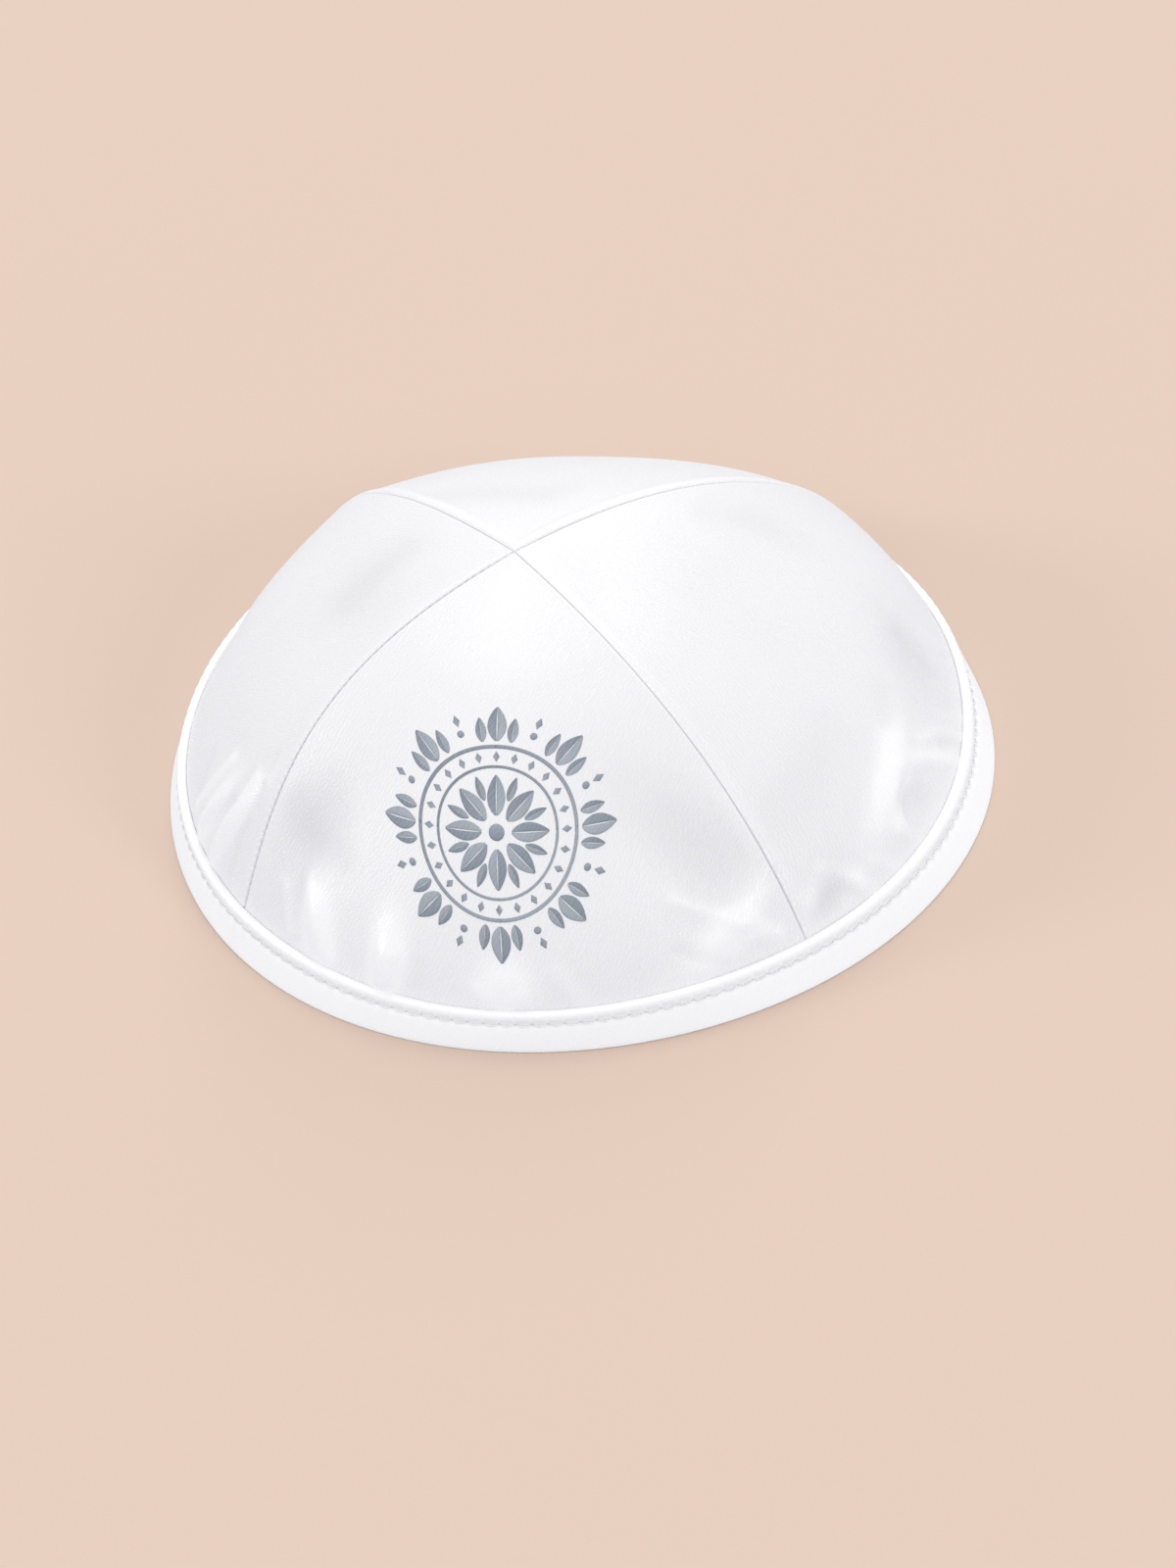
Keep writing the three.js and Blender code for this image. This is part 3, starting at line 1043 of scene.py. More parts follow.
    def away(self, ridge: Ridge, share: Array, up: Array) -> Array:
        """How far points lie from a ridge's line.

        Args:
            ridge: the ridge.
            share: place between the panel's two seams.
            up: share of the slant.

        Returns:
            Distances in metres along the cloth.
        """
        middle = self.panel_width(np.mean([place[1] for place in ridge.places]))
        x, y = (share - 0.5) * middle, up * self.slant
        line = [(across / 2 * middle, height * self.slant) for across, height in ridge.places]
        nearest = np.full(np.broadcast(x, y).shape, np.inf)
        for (x0, y0), (x1, y1) in zip(line, line[1:]):
            run = (x1 - x0, y1 - y0)
            share_on = np.clip(((x - x0) * run[0] + (y - y0) * run[1]) / (run[0] ** 2 + run[1] ** 2), 0, 1)
            nearest = np.minimum(nearest, np.hypot(x - x0 - share_on * run[0], y - y0 - share_on * run[1]))
        return nearest

    def lip(self, panel: int, share: Array, up: Array) -> tuple[Array, Array, Array]:
        """The sewn edges' shape beside a panel's seams.

        Args:
            panel: the panel's number.
            share: place between its two seams.
            up: share of the slant.

        Returns:
            Distances out, how firmly the stitches hold the cloth, and how dark the seam's painted shadow is.
        """
        gore, width = GORES[panel], self.panel_width(up)
        shape = np.zeros(np.broadcast(share, up).shape)
        hold = np.zeros_like(shape)
        for edge, place in ((gore.first.value, share), (gore.second.value, 1 - share)):
            away = width * place
            climbed = 1 - np.exp(-(away / edge.climb) ** 2)
            shape += edge.puff * climbed * np.exp(-((away - edge.puff_at) / edge.puff_spread) ** 2)
            strip_end = edge.strip_width + edge.strip_fade
            shape += edge.strip * climbed * (1 - smooth(away, edge.strip_width, strip_end))
            hold += edge.hold * climbed * np.exp(-(away / edge.hold_reach) ** 2)
        nearest = width * np.minimum(share, 1 - share)
        depth = np.where(share < 0.5, SEAMS[panel].depth, SEAMS[(panel + 1) % SEAM_COUNT].depth)
        depth = self.crown_depth + (depth - self.crown_depth) * smooth(width, *self.crown_fade)
        deep = depth * np.exp(-(nearest / gore.side(share, "climb")) ** self.sink_power)
        room = smooth(width, 0, self.tip_fade)
        # Painted shadow line along the seam, darker nearer the seam and broken into dashes by the stitches.
        stitch = 0.5 - 0.5 * np.cos(2 * math.pi * up * self.slant / gore.pitch)
        broken = 1 - gore.side(share, "beat") * (1 - stitch)
        shadow = depth * np.exp(-(nearest / gore.side(share, "shadow")) ** 2) * broken
        return shape * room - self.seam_sink * deep, hold * room, shadow

    def above_rim(self, up: Array) -> Array:
        """0 under the binding and 1 where folds and lips are free."""
        edge = self.binding_width
        return smooth(np.asarray(up) * self.slant, edge - self.rim_fade / 2, edge + self.rim_fade / 2)

    def surface(self, panel: int, share: Array, up: Array, proud: float = 0.0) -> Array:
        """A point of a panel's cloth.

        Args:
            panel: the panel's number.
            share: place between its two seams.
            up: share of the slant.
            proud: distance out of the cloth.

        Returns:
            Positions in metres.
        """
        turn = panel + share
        relief = self.above_rim(up) * (self.folds(panel, share, up) + self.lip(panel, share, up)[0])
        return self.point(turn, up) + self.outward(turn, up) * (proud + relief)[..., None]


# Sub-assemblies


@dataclass
class PanelCloth:
    """One satin panel, from inside the binding to its tip at the crown.

    edge_places are the close columns beside a seam, in millimetres. Where the panel is narrower than roomy
    times the farthest of them, they draw together. lip_share, hollow_share, full_relief and deepest_relief
    say how far lips, hollows and crests count in the cloth's tone. gore_area is the share of its box that the
    panel's flat cloth fills; it is not used.
    """

    form: CapForm
    number: int
    material: bpy.types.Material
    puckers: bpy.types.NodeTree
    row_step: float = 0.36 * MM
    column_step: float = 1.0 * MM
    pucker_depth: float = 0.16 * MM
    # full_relief, hollow_share, lip_share and deepest_relief set the painted highlight on crests and lips and
    # the painted shade in hollows.
    full_relief: float = 1.0 * MM
    hollow_share: float = 0.45
    lining_step: int = 4
    lip_share: float = 1.5
    deepest_relief: float = -0.75
    tip: float = 0.01 * MM
    roomy: float = 3.0
    edge_places: tuple[float, ...] = (
        0.015, 0.12, 0.24, 0.38, 0.54, 0.72, 0.92, 1.15, 1.4, 1.7, 2.05, 2.45, 2.9, 3.5, 4.2,
    )
    gore_area: float = 0.55

    def places(self) -> tuple[Array, Array]:
        """Where the points of the panel's grid lie.

        Returns:
            Places between the two seams and shares of the slant, as two grids.
        """
        form = self.form
        lowest = form.cloth + form.clearance
        count = int(round((form.slant - lowest) / self.row_step / self.lining_step)) * self.lining_step
        up = np.linspace(lowest, form.slant - self.tip, count + 1) / form.slant
        width = form.panel_width(up)[:, None]
        edge = np.array(self.edge_places) * MM
        inner = float(width.max()) - 2 * edge[-1]
        columns = int(round(inner / self.column_step))
        spare = (2 * len(edge) + columns - 2) % self.lining_step
        columns += (self.lining_step - spare) % self.lining_step
        even = np.linspace(0, 1, columns + 1)[1:-1]
        tight = np.minimum(1, width / (self.roomy * edge[-1]))
        first = edge * tight
        middle = first[:, -1:] + (width - 2 * first[:, -1:]) * even
        across = np.hstack([first, middle, (width - first)[:, ::-1]])
        return across / width, np.repeat(up[:, None], across.shape[1], 1)

    def build(self) -> bpy.types.Object:
        """Makes the panel's closed cloth.

        Returns:
            The panel's object.
        """
        form, gore = self.form, GORES[self.number]
        share, up = self.places()
        rows, columns = share.shape
        step = self.lining_step
        outer = form.surface(self.number, share, up).reshape(-1, 3)
        inner_share, inner_up = share[::step, ::step], up[::step, ::step]
        inner = form.surface(self.number, inner_share, inner_up, -form.cloth).reshape(-1, 3)
        inner_rows, inner_columns = inner_share.shape
        start = len(outer)
        faces = grid_faces(rows, columns)
        faces += [face[::-1] for face in grid_faces(inner_rows, inner_columns, start)]
        walls = len(faces)
        faces += self.edge_faces(rows, columns, inner_rows, inner_columns, start)
        piece = mesh_object(f"{gore.name}_satin", np.vstack([outer, inner]), faces, range(walls, len(faces)))

        # The seams' painted shadow line darkens the cloth's colour through painted_shade.
        lips, hold, painted_shade = form.lip(self.number, share, up)
        free = form.above_rim(up)
        # Painted highlight and shade: crests and puffed lips turn the cloth's colour lighter and hollows
        # darker.
        height = form.folds(self.number, share, up) + self.lip_share * np.maximum(lips, 0)
        height = np.where(height < 0, self.hollow_share * height, height)
        relief = np.clip(height * free / self.full_relief, self.deepest_relief, 1)
        lining = np.zeros(len(inner))
        rows_of = {"along": up * form.slant, "hold": hold * free, "painted_shade": painted_shade * free, "relief": relief}
        for name, values in rows_of.items():
            add_attribute(piece, name, np.concatenate([values.ravel(), lining]))
        outward = form.outward(self.number + share, up).reshape(-1, 3)
        add_attribute(piece, "outward", np.vstack([outward, np.zeros_like(inner)]))
        flat = np.stack([(share - 0.5) * form.panel_width(up), up * form.slant], -1)
        add_map(piece, np.vstack([flat.reshape(-1, 2), flat[::step, ::step].reshape(-1, 2)]))
        return piece

    def edge_faces(self, rows: int, columns: int, inner_rows: int, inner_columns: int, start: int) -> Faces:
        """Closes the wall round its edge, where several outer points meet each step of the lining.

        Args:
            rows: rows of the outer face.
            columns: points in one of them.
            inner_rows: rows of the lining.
            inner_columns: points in one of them.
            start: number of the lining's first point.

        Returns:
            The corner numbers of each face.
        """
        outer = np.arange(rows * columns).reshape(rows, columns)
        inner = start + np.arange(inner_rows * inner_columns).reshape(inner_rows, inner_columns)
        faces = []
        sides = (
            (outer[0], inner[0]),
            (outer[:, -1], inner[:, -1]),
            (outer[-1, ::-1], inner[-1, ::-1]),
            (outer[::-1, 0], inner[::-1, 0]),
        )
        for fine, coarse in sides:
            for i in range(len(coarse) - 1):
                run = fine[i * self.lining_step : (i + 1) * self.lining_step + 1]
                faces.append((*(int(n) for n in run[::-1]), int(coarse[i]), int(coarse[i + 1])))
        return faces

    def dress(self, piece: bpy.types.Object, on_it: Sequence[bpy.types.Object] = ()) -> bpy.types.Object:
        """Puckers the seams, parents the panel to the body's empty and hides the solid panel.

        Args:
            piece: the built panel.
            on_it: pieces that lie on the panel; not used.

        Returns:
            The finished panel.
        """
        gore, form = GORES[self.number], self.form
        grow(piece, self.puckers, {
            "Pitch": gore.pitch,
            "Depth": self.pucker_depth,
            "Sharpness": 2.0,
            "Unevenness": 0.8,
            "Seed": 3.0 + self.number,
            "Material": self.material,
        })
        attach(piece, BODY)
        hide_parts(gore.name)
        return piece


@dataclass
class RimBinding:
    """The satin tape folded over the panels' lower edge, and its row of stitches.

    The stitches pull within groove_hold of their row, and at the welt by the share welt_hold up to welt_loose
    below its top. The painted shade of a needle hole is hole_shade_across by hole_shade_tall and lies
    hole_shade_above the row; welt_shade is painted shade on the welt's lower side.
    """

    form: CapForm
    material: bpy.types.Material
    thread: bpy.types.Material
    puckers: bpy.types.NodeTree
    stitches: bpy.types.NodeTree
    welt_width: float = 2.2 * MM
    welt_height: float = 0.5 * MM
    welt_round: float = 0.4 * MM
    welt_steps: int = 8
    welt_fullness: float = 1.15
    outside_steps: int = 7
    inside_steps: int = 5
    groove_depth: float = 0.2 * MM
    groove_width: float = 1.1 * MM
    groove_power: float = 1.3
    bevel: float = 0.6 * MM
    ease_outside: float = 0.01 * MM
    ease_inside: float = 0.04 * MM
    stitch_pitch: float = 3.17 * MM
    stitch_length: float = 2.7 * MM
    thread_width: float = 0.5 * MM
    thread_arch: float = 0.5 * MM
    pucker_depth: float = 0.32 * MM
    steps_per_stitch: int = 10
    thread_steps: int = 8
    row_steps: int = 4001
    outer_share: float = 0.6
    groove_hold: float = 0.5 * MM
    welt_hold: float = 0.35
    welt_loose: float = 0.8 * MM
    # Painted shade: dark spots at the needle holes and a darker band on the welt's lower side.
    hole_shade_across: float = 0.22 * MM
    hole_shade_tall: float = 0.24 * MM
    hole_shade_above: float = 0.2 * MM
    welt_shade: float = 0.2
    welt_shade_up: float = 0.6 * MM
    tape_width: float = 21 * MM

    def __post_init__(self) -> None:
        """Measures the stitch row and shares it into whole stitches."""
        form = self.form
        self.stitch_height = form.binding_width - self.welt_width - self.groove_width / 2
        fine = np.linspace(0, SEAM_COUNT, self.row_steps)
        row = self.row_points(fine)
        steps = np.linalg.norm(np.diff(row, axis=0), axis=1)
        self.row_lengths = np.concatenate([[0], np.cumsum(steps)])
        self.row_turns = fine
        self.count = int(round(self.row_lengths[-1] / self.stitch_pitch))
        self.pitch = self.row_lengths[-1] / self.count

    def row_points(self, turn: Array) -> Array:
        """Points of the stitch row at the groove's floor.

        Args:
            turn: panels round the cap.

        Returns:
            Positions in metres.
        """
        up = self.stitch_height / self.form.slant
        out = self.form.binding_proud - self.groove_depth
        return self.form.point(turn, up) + self.form.outward(turn, up) * out

    def section(self) -> list[tuple[float, float]]:
        """The folded tape's section.

        Returns:
            Heights along the cloth and distances out from the panels' outer face.
        """
        form, bevel = self.form, self.bevel
        outside, inside = form.binding_proud, -(form.cloth + form.clearance + form.cloth)
        slot_out, slot_in = self.ease_outside, -form.cloth - self.ease_inside
        top = form.binding_width
        foot = top - self.welt_width
        groove = foot - self.groove_width
        points = [(0.0, inside + bevel), (0.0, (inside + outside) / 2), (0.0, outside - bevel)]
        for angle in np.radians((22, 45, 68, 90)):
            points.append((bevel * (1 - math.cos(angle)), outside - bevel * (1 - math.sin(angle))))
        heights = np.linspace(bevel, groove, self.outside_steps)[1:]
        points += [(float(height), outside) for height in heights]
        shares = [float(share) for share in np.linspace(0, 1, self.welt_steps)[1:]]
        for share in shares:
            dip = self.groove_depth * math.sin(math.pi * share) ** self.groove_power
            points.append((groove + self.groove_width * share, outside - dip))
        for share in shares:
            bulge = self.welt_height * math.sin(math.pi / 2 * min(1.0, share * self.welt_fullness))
            points.append((foot + (self.welt_width - self.welt_round) * share, outside + bulge))
        reach = (outside + self.welt_height - slot_out) / 2
        for angle in np.radians((30, 60, 90, 120, 150, 180)):
            up = top - self.welt_round + self.welt_round * math.sin(angle)
            points.append((up, slot_out + reach * (1 + math.cos(angle))))
        points += [(form.cloth, slot_out), (form.cloth, slot_in)]
        turned = (slot_in - inside) / 2
        for angle in np.radians((0, 45, 90, 135, 180)):
            points.append((top - turned + turned * math.sin(angle), slot_in - turned * (1 - math.cos(angle))))
        heights = np.linspace(top - turned, bevel, self.inside_steps)[1:-1]
        points += [(float(height), inside) for height in heights]
        for angle in np.radians((90, 60, 30)):
            points.append((bevel * (1 - math.sin(angle)), inside + bevel * (1 - math.sin(angle))))
        return points

    def build(self) -> bpy.types.Object:
        """Carries the section once round the rim.

        Returns:
            The binding's object.
        """
        form = self.form
        section = np.array(self.section())
        steps = self.count * self.steps_per_stitch
        along = np.arange(steps) * self.pitch / self.steps_per_stitch
        turn = np.interp(along, self.row_lengths, self.row_turns)[:, None]
        heights, out = section[None, :, 0], section[None, :, 1]
        up = heights / form.slant
        outward = form.outward(turn, up)
        points = form.point(turn, up) + outward * out[..., None]
        size = len(section)
        faces = []
        for step in range(steps):
            here, there = step * size, (step + 1) % steps * size
            for i in range(size):
                j = (i + 1) % size
                faces.append((here + i, there + i, there + j, here + j))
        piece = mesh_object("rim_binding_satin", points.reshape(-1, 3), faces)

        visible = (out > form.binding_proud * self.outer_share) * np.ones_like(turn)
        groove = np.exp(-((heights - self.stitch_height) / self.groove_hold) ** 2)
        welt = self.welt_hold * smooth(heights, self.stitch_height, form.binding_width - self.welt_loose)
        hold = visible * np.maximum(groove, welt * (heights > self.stitch_height))
        # Painted shade: the needle holes and the welt's lower side darken the tape's colour.
        phase = np.mod(along / self.pitch, 1)[:, None]
        hole = np.exp(-((phase - 0.5) * self.pitch / self.hole_shade_across) ** 2)
        row = self.stitch_height + self.hole_shade_above
        painted_shade = visible * hole * np.exp(-((heights - row) / self.hole_shade_tall) ** 2)
        under = form.binding_width - self.welt_width + self.welt_shade_up
        shade = np.exp(-((heights - under) / self.welt_shade_up) ** 2)
        painted_shade += self.welt_shade * visible * (1 - hole) * shade
        for name, values in (("along", along[:, None]), ("hold", hold), ("painted_shade", painted_shade)):
            add_attribute(piece, name, np.broadcast_to(values, points.shape[:2]).ravel())
        add_attribute(piece, "outward", outward.reshape(-1, 3))
        girth = np.concatenate([[0], np.cumsum(np.hypot(*np.diff(section, axis=0).T))])
        flat = np.stack(np.broadcast_arrays(along[:, None], girth[None, :]), -1)
        add_map(piece, flat.reshape(-1, 2))
        return piece

    def dress(self, piece: bpy.types.Object, on_it: Sequence[bpy.types.Object]) -> bpy.types.Object:
        """Pulls the tape in at the needle holes, parents it to the body's empty and hides the solid binding.

        Args:
            piece: the built binding.
            on_it: the stitches; not used.

        Returns:
            The finished binding.
        """
        grow(piece, self.puckers, {
            "Pitch": self.pitch,
            "Depth": self.pucker_depth,
            "Sharpness": 3.0,
            "Unevenness": 0.35,
            "Seed": 11.0,
            "Material": self.material,
        })
        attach(piece, BODY)
        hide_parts("rim_binding")
        return piece

    def sew(self) -> bpy.types.Object:
        """Lays the thread from hole to hole along the groove.

        Returns:
            The stitches' object.
        """
        steps = self.count * self.thread_steps
        turn = np.interp(np.arange(steps) / steps * self.row_lengths[-1], self.row_lengths, self.row_turns)
        up = self.stitch_height / self.form.slant
        mesh = bpy.data.meshes.new("binding_stitches")
        mesh.from_pydata(self.row_points(turn).tolist(), [(i, (i + 1) % steps) for i in range(steps)], [])
        piece = in_scene("binding_stitches", mesh)
        add_attribute(piece, "outward", self.form.outward(turn, up))
        grow(piece, self.stitches, {
            "Count": self.count,
            "Length": self.stitch_length,
            "Thickness": self.thread_width,
            "Arch": self.thread_arch,
            "Twist": 1.5,
            "Lean": 0.06,
            "Wobble": 0.05,
            "Seed": 5,
            "Material": self.thread,
        })
        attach(piece, BODY)
        return piece


@dataclass
class FrontOrnament:
    """A printed round ornament on the front panel: petals, rings, diamonds and dots.

    Places and sizes of its motifs are shares of its radius. A fade is how much a motif's painted light and
    shade changes across it.
    """

    form: CapForm
    material: bpy.types.Material
    panel: int = 0
    across: float = 0.03
    up: float = 0.38
    radius: float = 23.5 * MM
    proud: float = 0.06 * MM
    sunk: float = -0.05 * MM
    motifs: int = 8
    beads: int = 24
    petal_reach: tuple[float, float] = (0.02, 0.98)
    petal_lean: float = 0.85
    petal_fullness: float = 0.8
    petal_steps: tuple[int, int] = (14, 4)
    midrib: float = 0.06
    # The fades, ring_light and each motif's tones paint light and shade across the ink.
    petal_fade: float = 0.35
    ring_fade: float = 0.25
    ring_light: float = 0.8
    ring_steps: tuple[int, int] = (33, 3)
    diamond_fade: float = 0.4
    diamond_steps: int = 5
    dot_fade: float = 0.3
    dot_steps: int = 6
    points: list[Array] = field(default_factory=list)
    faces: Faces = field(default_factory=list)
    shading: list[Array] = field(default_factory=list)
    places: list[Array] = field(default_factory=list)
    used: int = 0

    def lay(self, x: Array, y: Array, shading: Array) -> None:
        """Adds a small grid of ink, closed above and below.

        Args:
            x: places across the ornament, as a grid.
            y: places up the ornament.
            shading: painted light and shade, 0 for light ink and 1 for dark, as the same grid.
        """
        form = self.form
        x, y = x * self.radius, y * self.radius
        up = self.up + y / form.slant
        share = (1 + self.across) / 2 + x / self.real_width(up)
        above = form.surface(self.panel, share, up, self.proud).reshape(-1, 3)
        below = form.surface(self.panel, share, up, self.sunk).reshape(-1, 3)
        rows, columns = x.shape
        top, bottom = self.used, self.used + rows * columns
        numbers = np.arange(rows * columns).reshape(rows, columns)
        rim = np.concatenate([numbers[0, :-1], numbers[:-1, -1], numbers[-1, :0:-1], numbers[:0:-1, 0]])
        sheet = grid_faces(rows, columns)
        self.faces += [tuple(top + n for n in face) for face in sheet]
        self.faces += [tuple(bottom + n for n in face[::-1]) for face in sheet]
        for a, b in zip(rim, np.roll(rim, -1)):
            self.faces.append((top + int(b), top + int(a), bottom + int(a), bottom + int(b)))
        self.points += [above, below]
        flat = np.stack([x, y], -1).reshape(-1, 2)
        self.places += [flat, flat]
        self.shading += [shading.ravel(), shading.ravel()]
        self.used += 2 * rows * columns

    def real_width(self, up: Array) -> Array:
        """Measures the cloth across the panel at the ornament's place.

        Args:
            up: shares of the slant.

        Returns:
            Metres for one whole share across.
        """
        middle, step = self.panel + (1 + self.across) / 2, 0.05
        ends = [self.form.point(middle + side * step, up) for side in (-1, 1)]
        return np.linalg.norm(ends[1] - ends[0], axis=-1) / (2 * step)

    def lay_turned(self, angle: float, out: Array, side: Array, shading: Array) -> None:
        """Lays a small grid given by distances out and sideways in a direction from the middle.

        Args:
            angle: the direction.
            out: distances from the ornament's middle.
            side: distances to the right of the direction.
            shading: as in lay.
        """
        across, along = math.sin(angle), math.cos(angle)
        self.lay(out * across + side * along, out * along - side * across, shading)

    def petal(self, angle: float, foot: float, tip: float, width: float, tones: tuple[float, float]) -> None:
        """A pointed petal in two halves, with painted light on one and painted shade on the other.

        Args:
            angle: its direction from the middle.
            foot: radius of its foot.
            tip: radius of its tip.
            width: width at its widest.
            tones: shading of its two halves.
        """
        rows, columns = self.petal_steps
        t = np.linspace(*self.petal_reach, rows)[:, None]
        half = width / 2 * np.sin(math.pi * t ** self.petal_lean) ** self.petal_fullness
        right = np.linspace(self.midrib, 1, columns)[None, :]
        for side, tone in ((right, tones[0]), (-right[:, ::-1], tones[1])):
            even = np.zeros_like(side)
            shading = tone + self.petal_fade * (t - 0.5) + even
            self.lay_turned(angle, foot + (tip - foot) * t + even, half * side, shading)

    def ring(self, radius: float, width: float, tone: float) -> None:
        """A thin ring in quarter turns.

        Args:
            radius: its middle radius.
            width: the line's width.
            tone: its shading.
        """
        rows, columns = self.ring_steps
        r = radius + width * np.linspace(-0.5, 0.5, columns)[None, :]
        for quarter in range(4):
            angle = (quarter + np.linspace(0, 1, rows))[:, None] * math.pi / 2
            shading = tone + self.ring_fade * np.sin(angle + self.ring_light) + 0 * r
            self.lay(r * np.sin(-angle), r * np.cos(angle), shading)

    def diamond(self, angle: float, radius: float, length: float, width: float, tone: float) -> None:
        """A small diamond pointing outwards.

        Args:
            angle: its direction from the middle.
            radius: its middle's radius.
            length: size along the radius.
            width: size across it.
            tone: its shading.
        """
        steps = np.linspace(-0.5, 0.5, self.diamond_steps)
        a, b = np.meshgrid(steps, steps)
        shading = tone + self.diamond_fade * a
        self.lay_turned(angle, radius + (a + b) * length / 2, (a - b) * width / 2, shading)

    def dot(self, angle: float, radius: float, size: float, tone: float) -> None:
        """A round dot.

        Args:
            angle: its direction from the middle.
            radius: its middle's radius.
            size: its diameter.
            tone: its shading.
        """
        steps = np.linspace(-1, 1, self.dot_steps)
        a, b = np.meshgrid(steps, steps)
        x = a * np.sqrt(1 - b * b / 2) * size / 2 + radius * math.sin(angle)
        y = b * np.sqrt(1 - a * a / 2) * size / 2 + radius * math.cos(angle)
        self.lay(x, y, tone - self.dot_fade * b)

    def build(self) -> bpy.types.Object:
        """Draws the ornament from the middle outwards.

        Returns:
            The ornament's object.
        """
        self.dot(0, radius=0, size=0.13, tone=0.6)
        for angle in np.arange(self.motifs) * 2 * math.pi / self.motifs:
            between = angle + math.pi / self.motifs
            self.petal(angle, foot=0.12, tip=0.44, width=0.15, tones=(0.25, 0.75))
            self.petal(between, foot=0.25, tip=0.45, width=0.07, tones=(0.5, 0.85))
            self.petal(angle, foot=0.7, tip=1.0, width=0.16, tones=(0.2, 0.7))
            for aside in (-0.17, 0.17):
                self.petal(angle + aside, foot=0.7, tip=0.91, width=0.09, tones=(0.35, 0.8))
            self.dot(between, radius=0.8, size=0.06, tone=0.6)
            self.diamond(between, radius=0.91, length=0.1, width=0.06, tone=0.55)
        self.ring(radius=0.5, width=0.022, tone=0.6)
        self.ring(radius=0.66, width=0.03, tone=0.5)
        for angle in np.arange(self.beads) * 2 * math.pi / self.beads:
            self.diamond(angle, radius=0.58, length=0.085, width=0.055, tone=0.5)
        piece = mesh_object("front_ornament", np.vstack(self.points), self.faces)
        add_attribute(piece, "shading", np.concatenate(self.shading))
        add_map(piece, np.vstack(self.places))
        piece.data.materials.append(self.material)
        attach(piece, BODY)
        return piece


def direction(azimuth: float, elevation: float) -> Vector:
    """The way out from the cap, by degrees round from the front to the viewer's right and above the floor."""
    around, above = math.radians(azimuth), math.radians(elevation)
    return Vector((math.sin(around) * math.cos(above), -math.cos(around) * math.cos(above), math.sin(above)))


@dataclass(frozen=True)
class Lamp:
    """A soft square light aimed at the cap, in degrees, metres and watts."""

    name: str
    azimuth: float
    elevation: float
    distance: float
    size: float
    power: float

    def stand(self, target: Vector) -> None:
        """Sets the lamp up, turned to its target.

        Args:
            target: the place that it lights.
        """
        data = bpy.data.lights.new(self.name, "AREA")
        data.energy = self.power
        data.size = self.size
        made = in_scene(self.name, data)
        back = direction(self.azimuth, self.elevation)
        made.location = target + back * self.distance
        made.rotation_euler = back.to_track_quat("Z", "Y").to_euler()


LAMPS = (
    Lamp("front", azimuth=8, elevation=34, distance=4.0, size=1.0, power=7.9),
    Lamp("right", azimuth=60, elevation=30, distance=4.0, size=1.2, power=26.0),
    Lamp("left", azimuth=-75, elevation=25, distance=4.0, size=1.2, power=27.0),
    Lamp("back", azimuth=180, elevation=34, distance=4.0, size=1.6, power=19.0),
    Lamp("back_high", azimuth=180, elevation=60, distance=4.0, size=1.6, power=26.0),
)


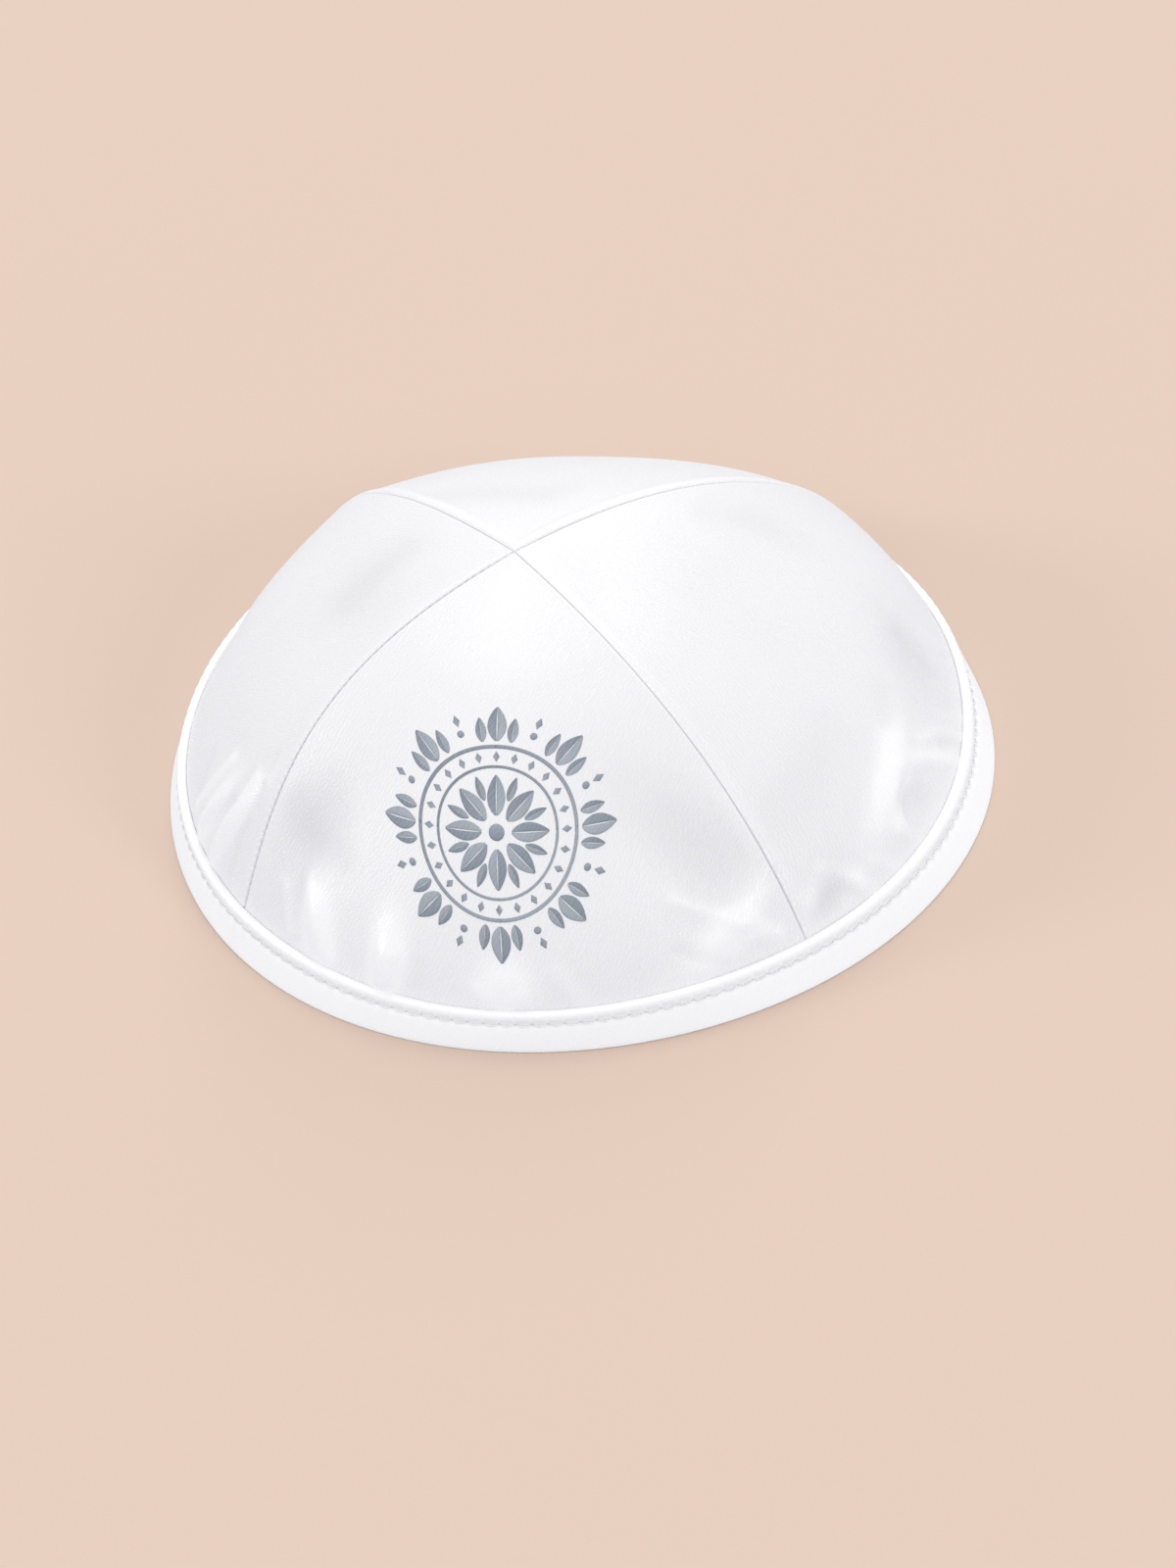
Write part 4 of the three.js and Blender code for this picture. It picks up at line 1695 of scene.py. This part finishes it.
@dataclass
class Studio:
    """A plain pale floor, soft lights and the camera at the photograph's angle.

    aim is how far the camera looks to the right of its target and above it.
    """

    form: CapForm
    azimuth: float = 15.6
    elevation: float = 40.0
    roll: float = -7.3
    distance: float = 1.1
    lens: float = 125.5
    sensor: float = 36.0
    aim: tuple[float, float] = (5.0 * MM, -23.2 * MM)
    target_height: float = 25 * MM
    lit_height: float = 20 * MM
    floor_size: float = 24.0
    floor_drop: float = 0.02 * MM
    air: Colour = (1.0, 0.995, 1.01, 1.0)
    air_strength: float = 0.77
    seen_range: tuple[float, float] = (0.05, 100.0)

    def floor(self, material: bpy.types.Material) -> None:
        """Lays the floor just under the rim.

        Args:
            material: the floor's finish.
        """
        half, low = self.floor_size / 2, -self.floor_drop
        corners = np.array([(-half, -half, low), (half, -half, low), (half, half, low), (-half, half, low)])
        made = mesh_object("studio_floor", corners, [(0, 1, 2, 3)])
        made.data.materials.append(material)

    def lights(self) -> None:
        """Sets the surroundings' light and the lamps."""
        world = bpy.data.worlds.new("studio_air")
        world.use_nodes = True
        sky = world.node_tree.nodes["Background"]
        sky.inputs["Color"].default_value = self.air
        sky.inputs["Strength"].default_value = self.air_strength
        bpy.context.scene.world = world
        for lamp in LAMPS:
            lamp.stand(Vector((0, 0, self.lit_height)))

    def camera(self) -> None:
        """Stands the camera where the photograph was taken from."""
        around, roll = math.radians(self.azimuth), math.radians(self.roll)
        back = direction(self.azimuth, self.elevation)
        level = Vector((math.cos(around), math.sin(around), 0))
        upright = back.cross(level)
        right = math.cos(roll) * level + math.sin(roll) * upright
        top = math.cos(roll) * upright - math.sin(roll) * level
        target = Vector(self.form.offset) + Vector((0, 0, self.target_height))
        data = bpy.data.cameras.new("photo_camera")
        data.lens, data.sensor_width = self.lens, self.sensor
        data.clip_start, data.clip_end = self.seen_range
        made = in_scene("photo_camera", data)
        made.location = target + back * self.distance
        away = (made.location - (target + right * self.aim[0] + top * self.aim[1])).normalized()
        side = top.cross(away).normalized()
        turned = Matrix((side, away.cross(side), away)).transposed().to_4x4()
        made.matrix_world = Matrix.Translation(made.location) @ turned
        bpy.context.scene.camera = made


def centre(form: CapForm, binding: RimBinding, steps: int = 2000) -> None:
    """Moves the form sideways so that its binding fills the solid one's box.

    Args:
        form: the cap's form.
        binding: a binding on that form.
        steps: how many places round the rim are measured.
    """
    low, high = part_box("rim_binding")
    section = np.array(binding.section())
    turns = np.linspace(0, SEAM_COUNT, steps)[:, None]
    up = section[:, 0] / form.slant
    around = (form.point(turns, up) + form.outward(turns, up) * section[:, 1][:, None]).reshape(-1, 3)
    middle = (around.min(0) + around.max(0)) / 2
    form.offset = np.array([(low.x + high.x) / 2 - middle[0], (low.y + high.y) / 2 - middle[1], 0.0])


def report(piece: bpy.types.Object) -> None:
    """Logs a finished piece."""
    LOG.info("%s: %d corners", piece.name, len(piece.data.vertices))


def main() -> None:
    """Builds and dresses the cap and sets up the studio."""
    logging.basicConfig(level=logging.INFO, format="%(name)s: %(message)s")
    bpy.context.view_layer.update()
    bpy.context.scene.view_settings.view_transform = "Standard"

    weave_group()
    tone_group()
    satin, tape, thread = SATIN.material(), TAPE.material(), THREAD.material()
    form = CapForm()
    puckers, stitches = pucker_tree(), stitch_tree()
    centre(form, RimBinding(form, tape, thread, puckers, stitches))

    ornament = FrontOrnament(form, InkFinish().material()).build()
    report(ornament)
    for number in range(SEAM_COUNT):
        panel = PanelCloth(form, number, satin, puckers)
        report(panel.dress(panel.build(), [ornament] if number == 0 else []))
    binding = RimBinding(form, tape, thread, puckers, stitches)
    row = binding.sew()
    LOG.info("%s: %d stitches", row.name, binding.count)
    report(binding.dress(binding.build(), [row]))

    studio = Studio(form)
    studio.floor(FloorFinish().material())
    studio.lights()
    studio.camera()


if __name__ == "__main__":
    main()
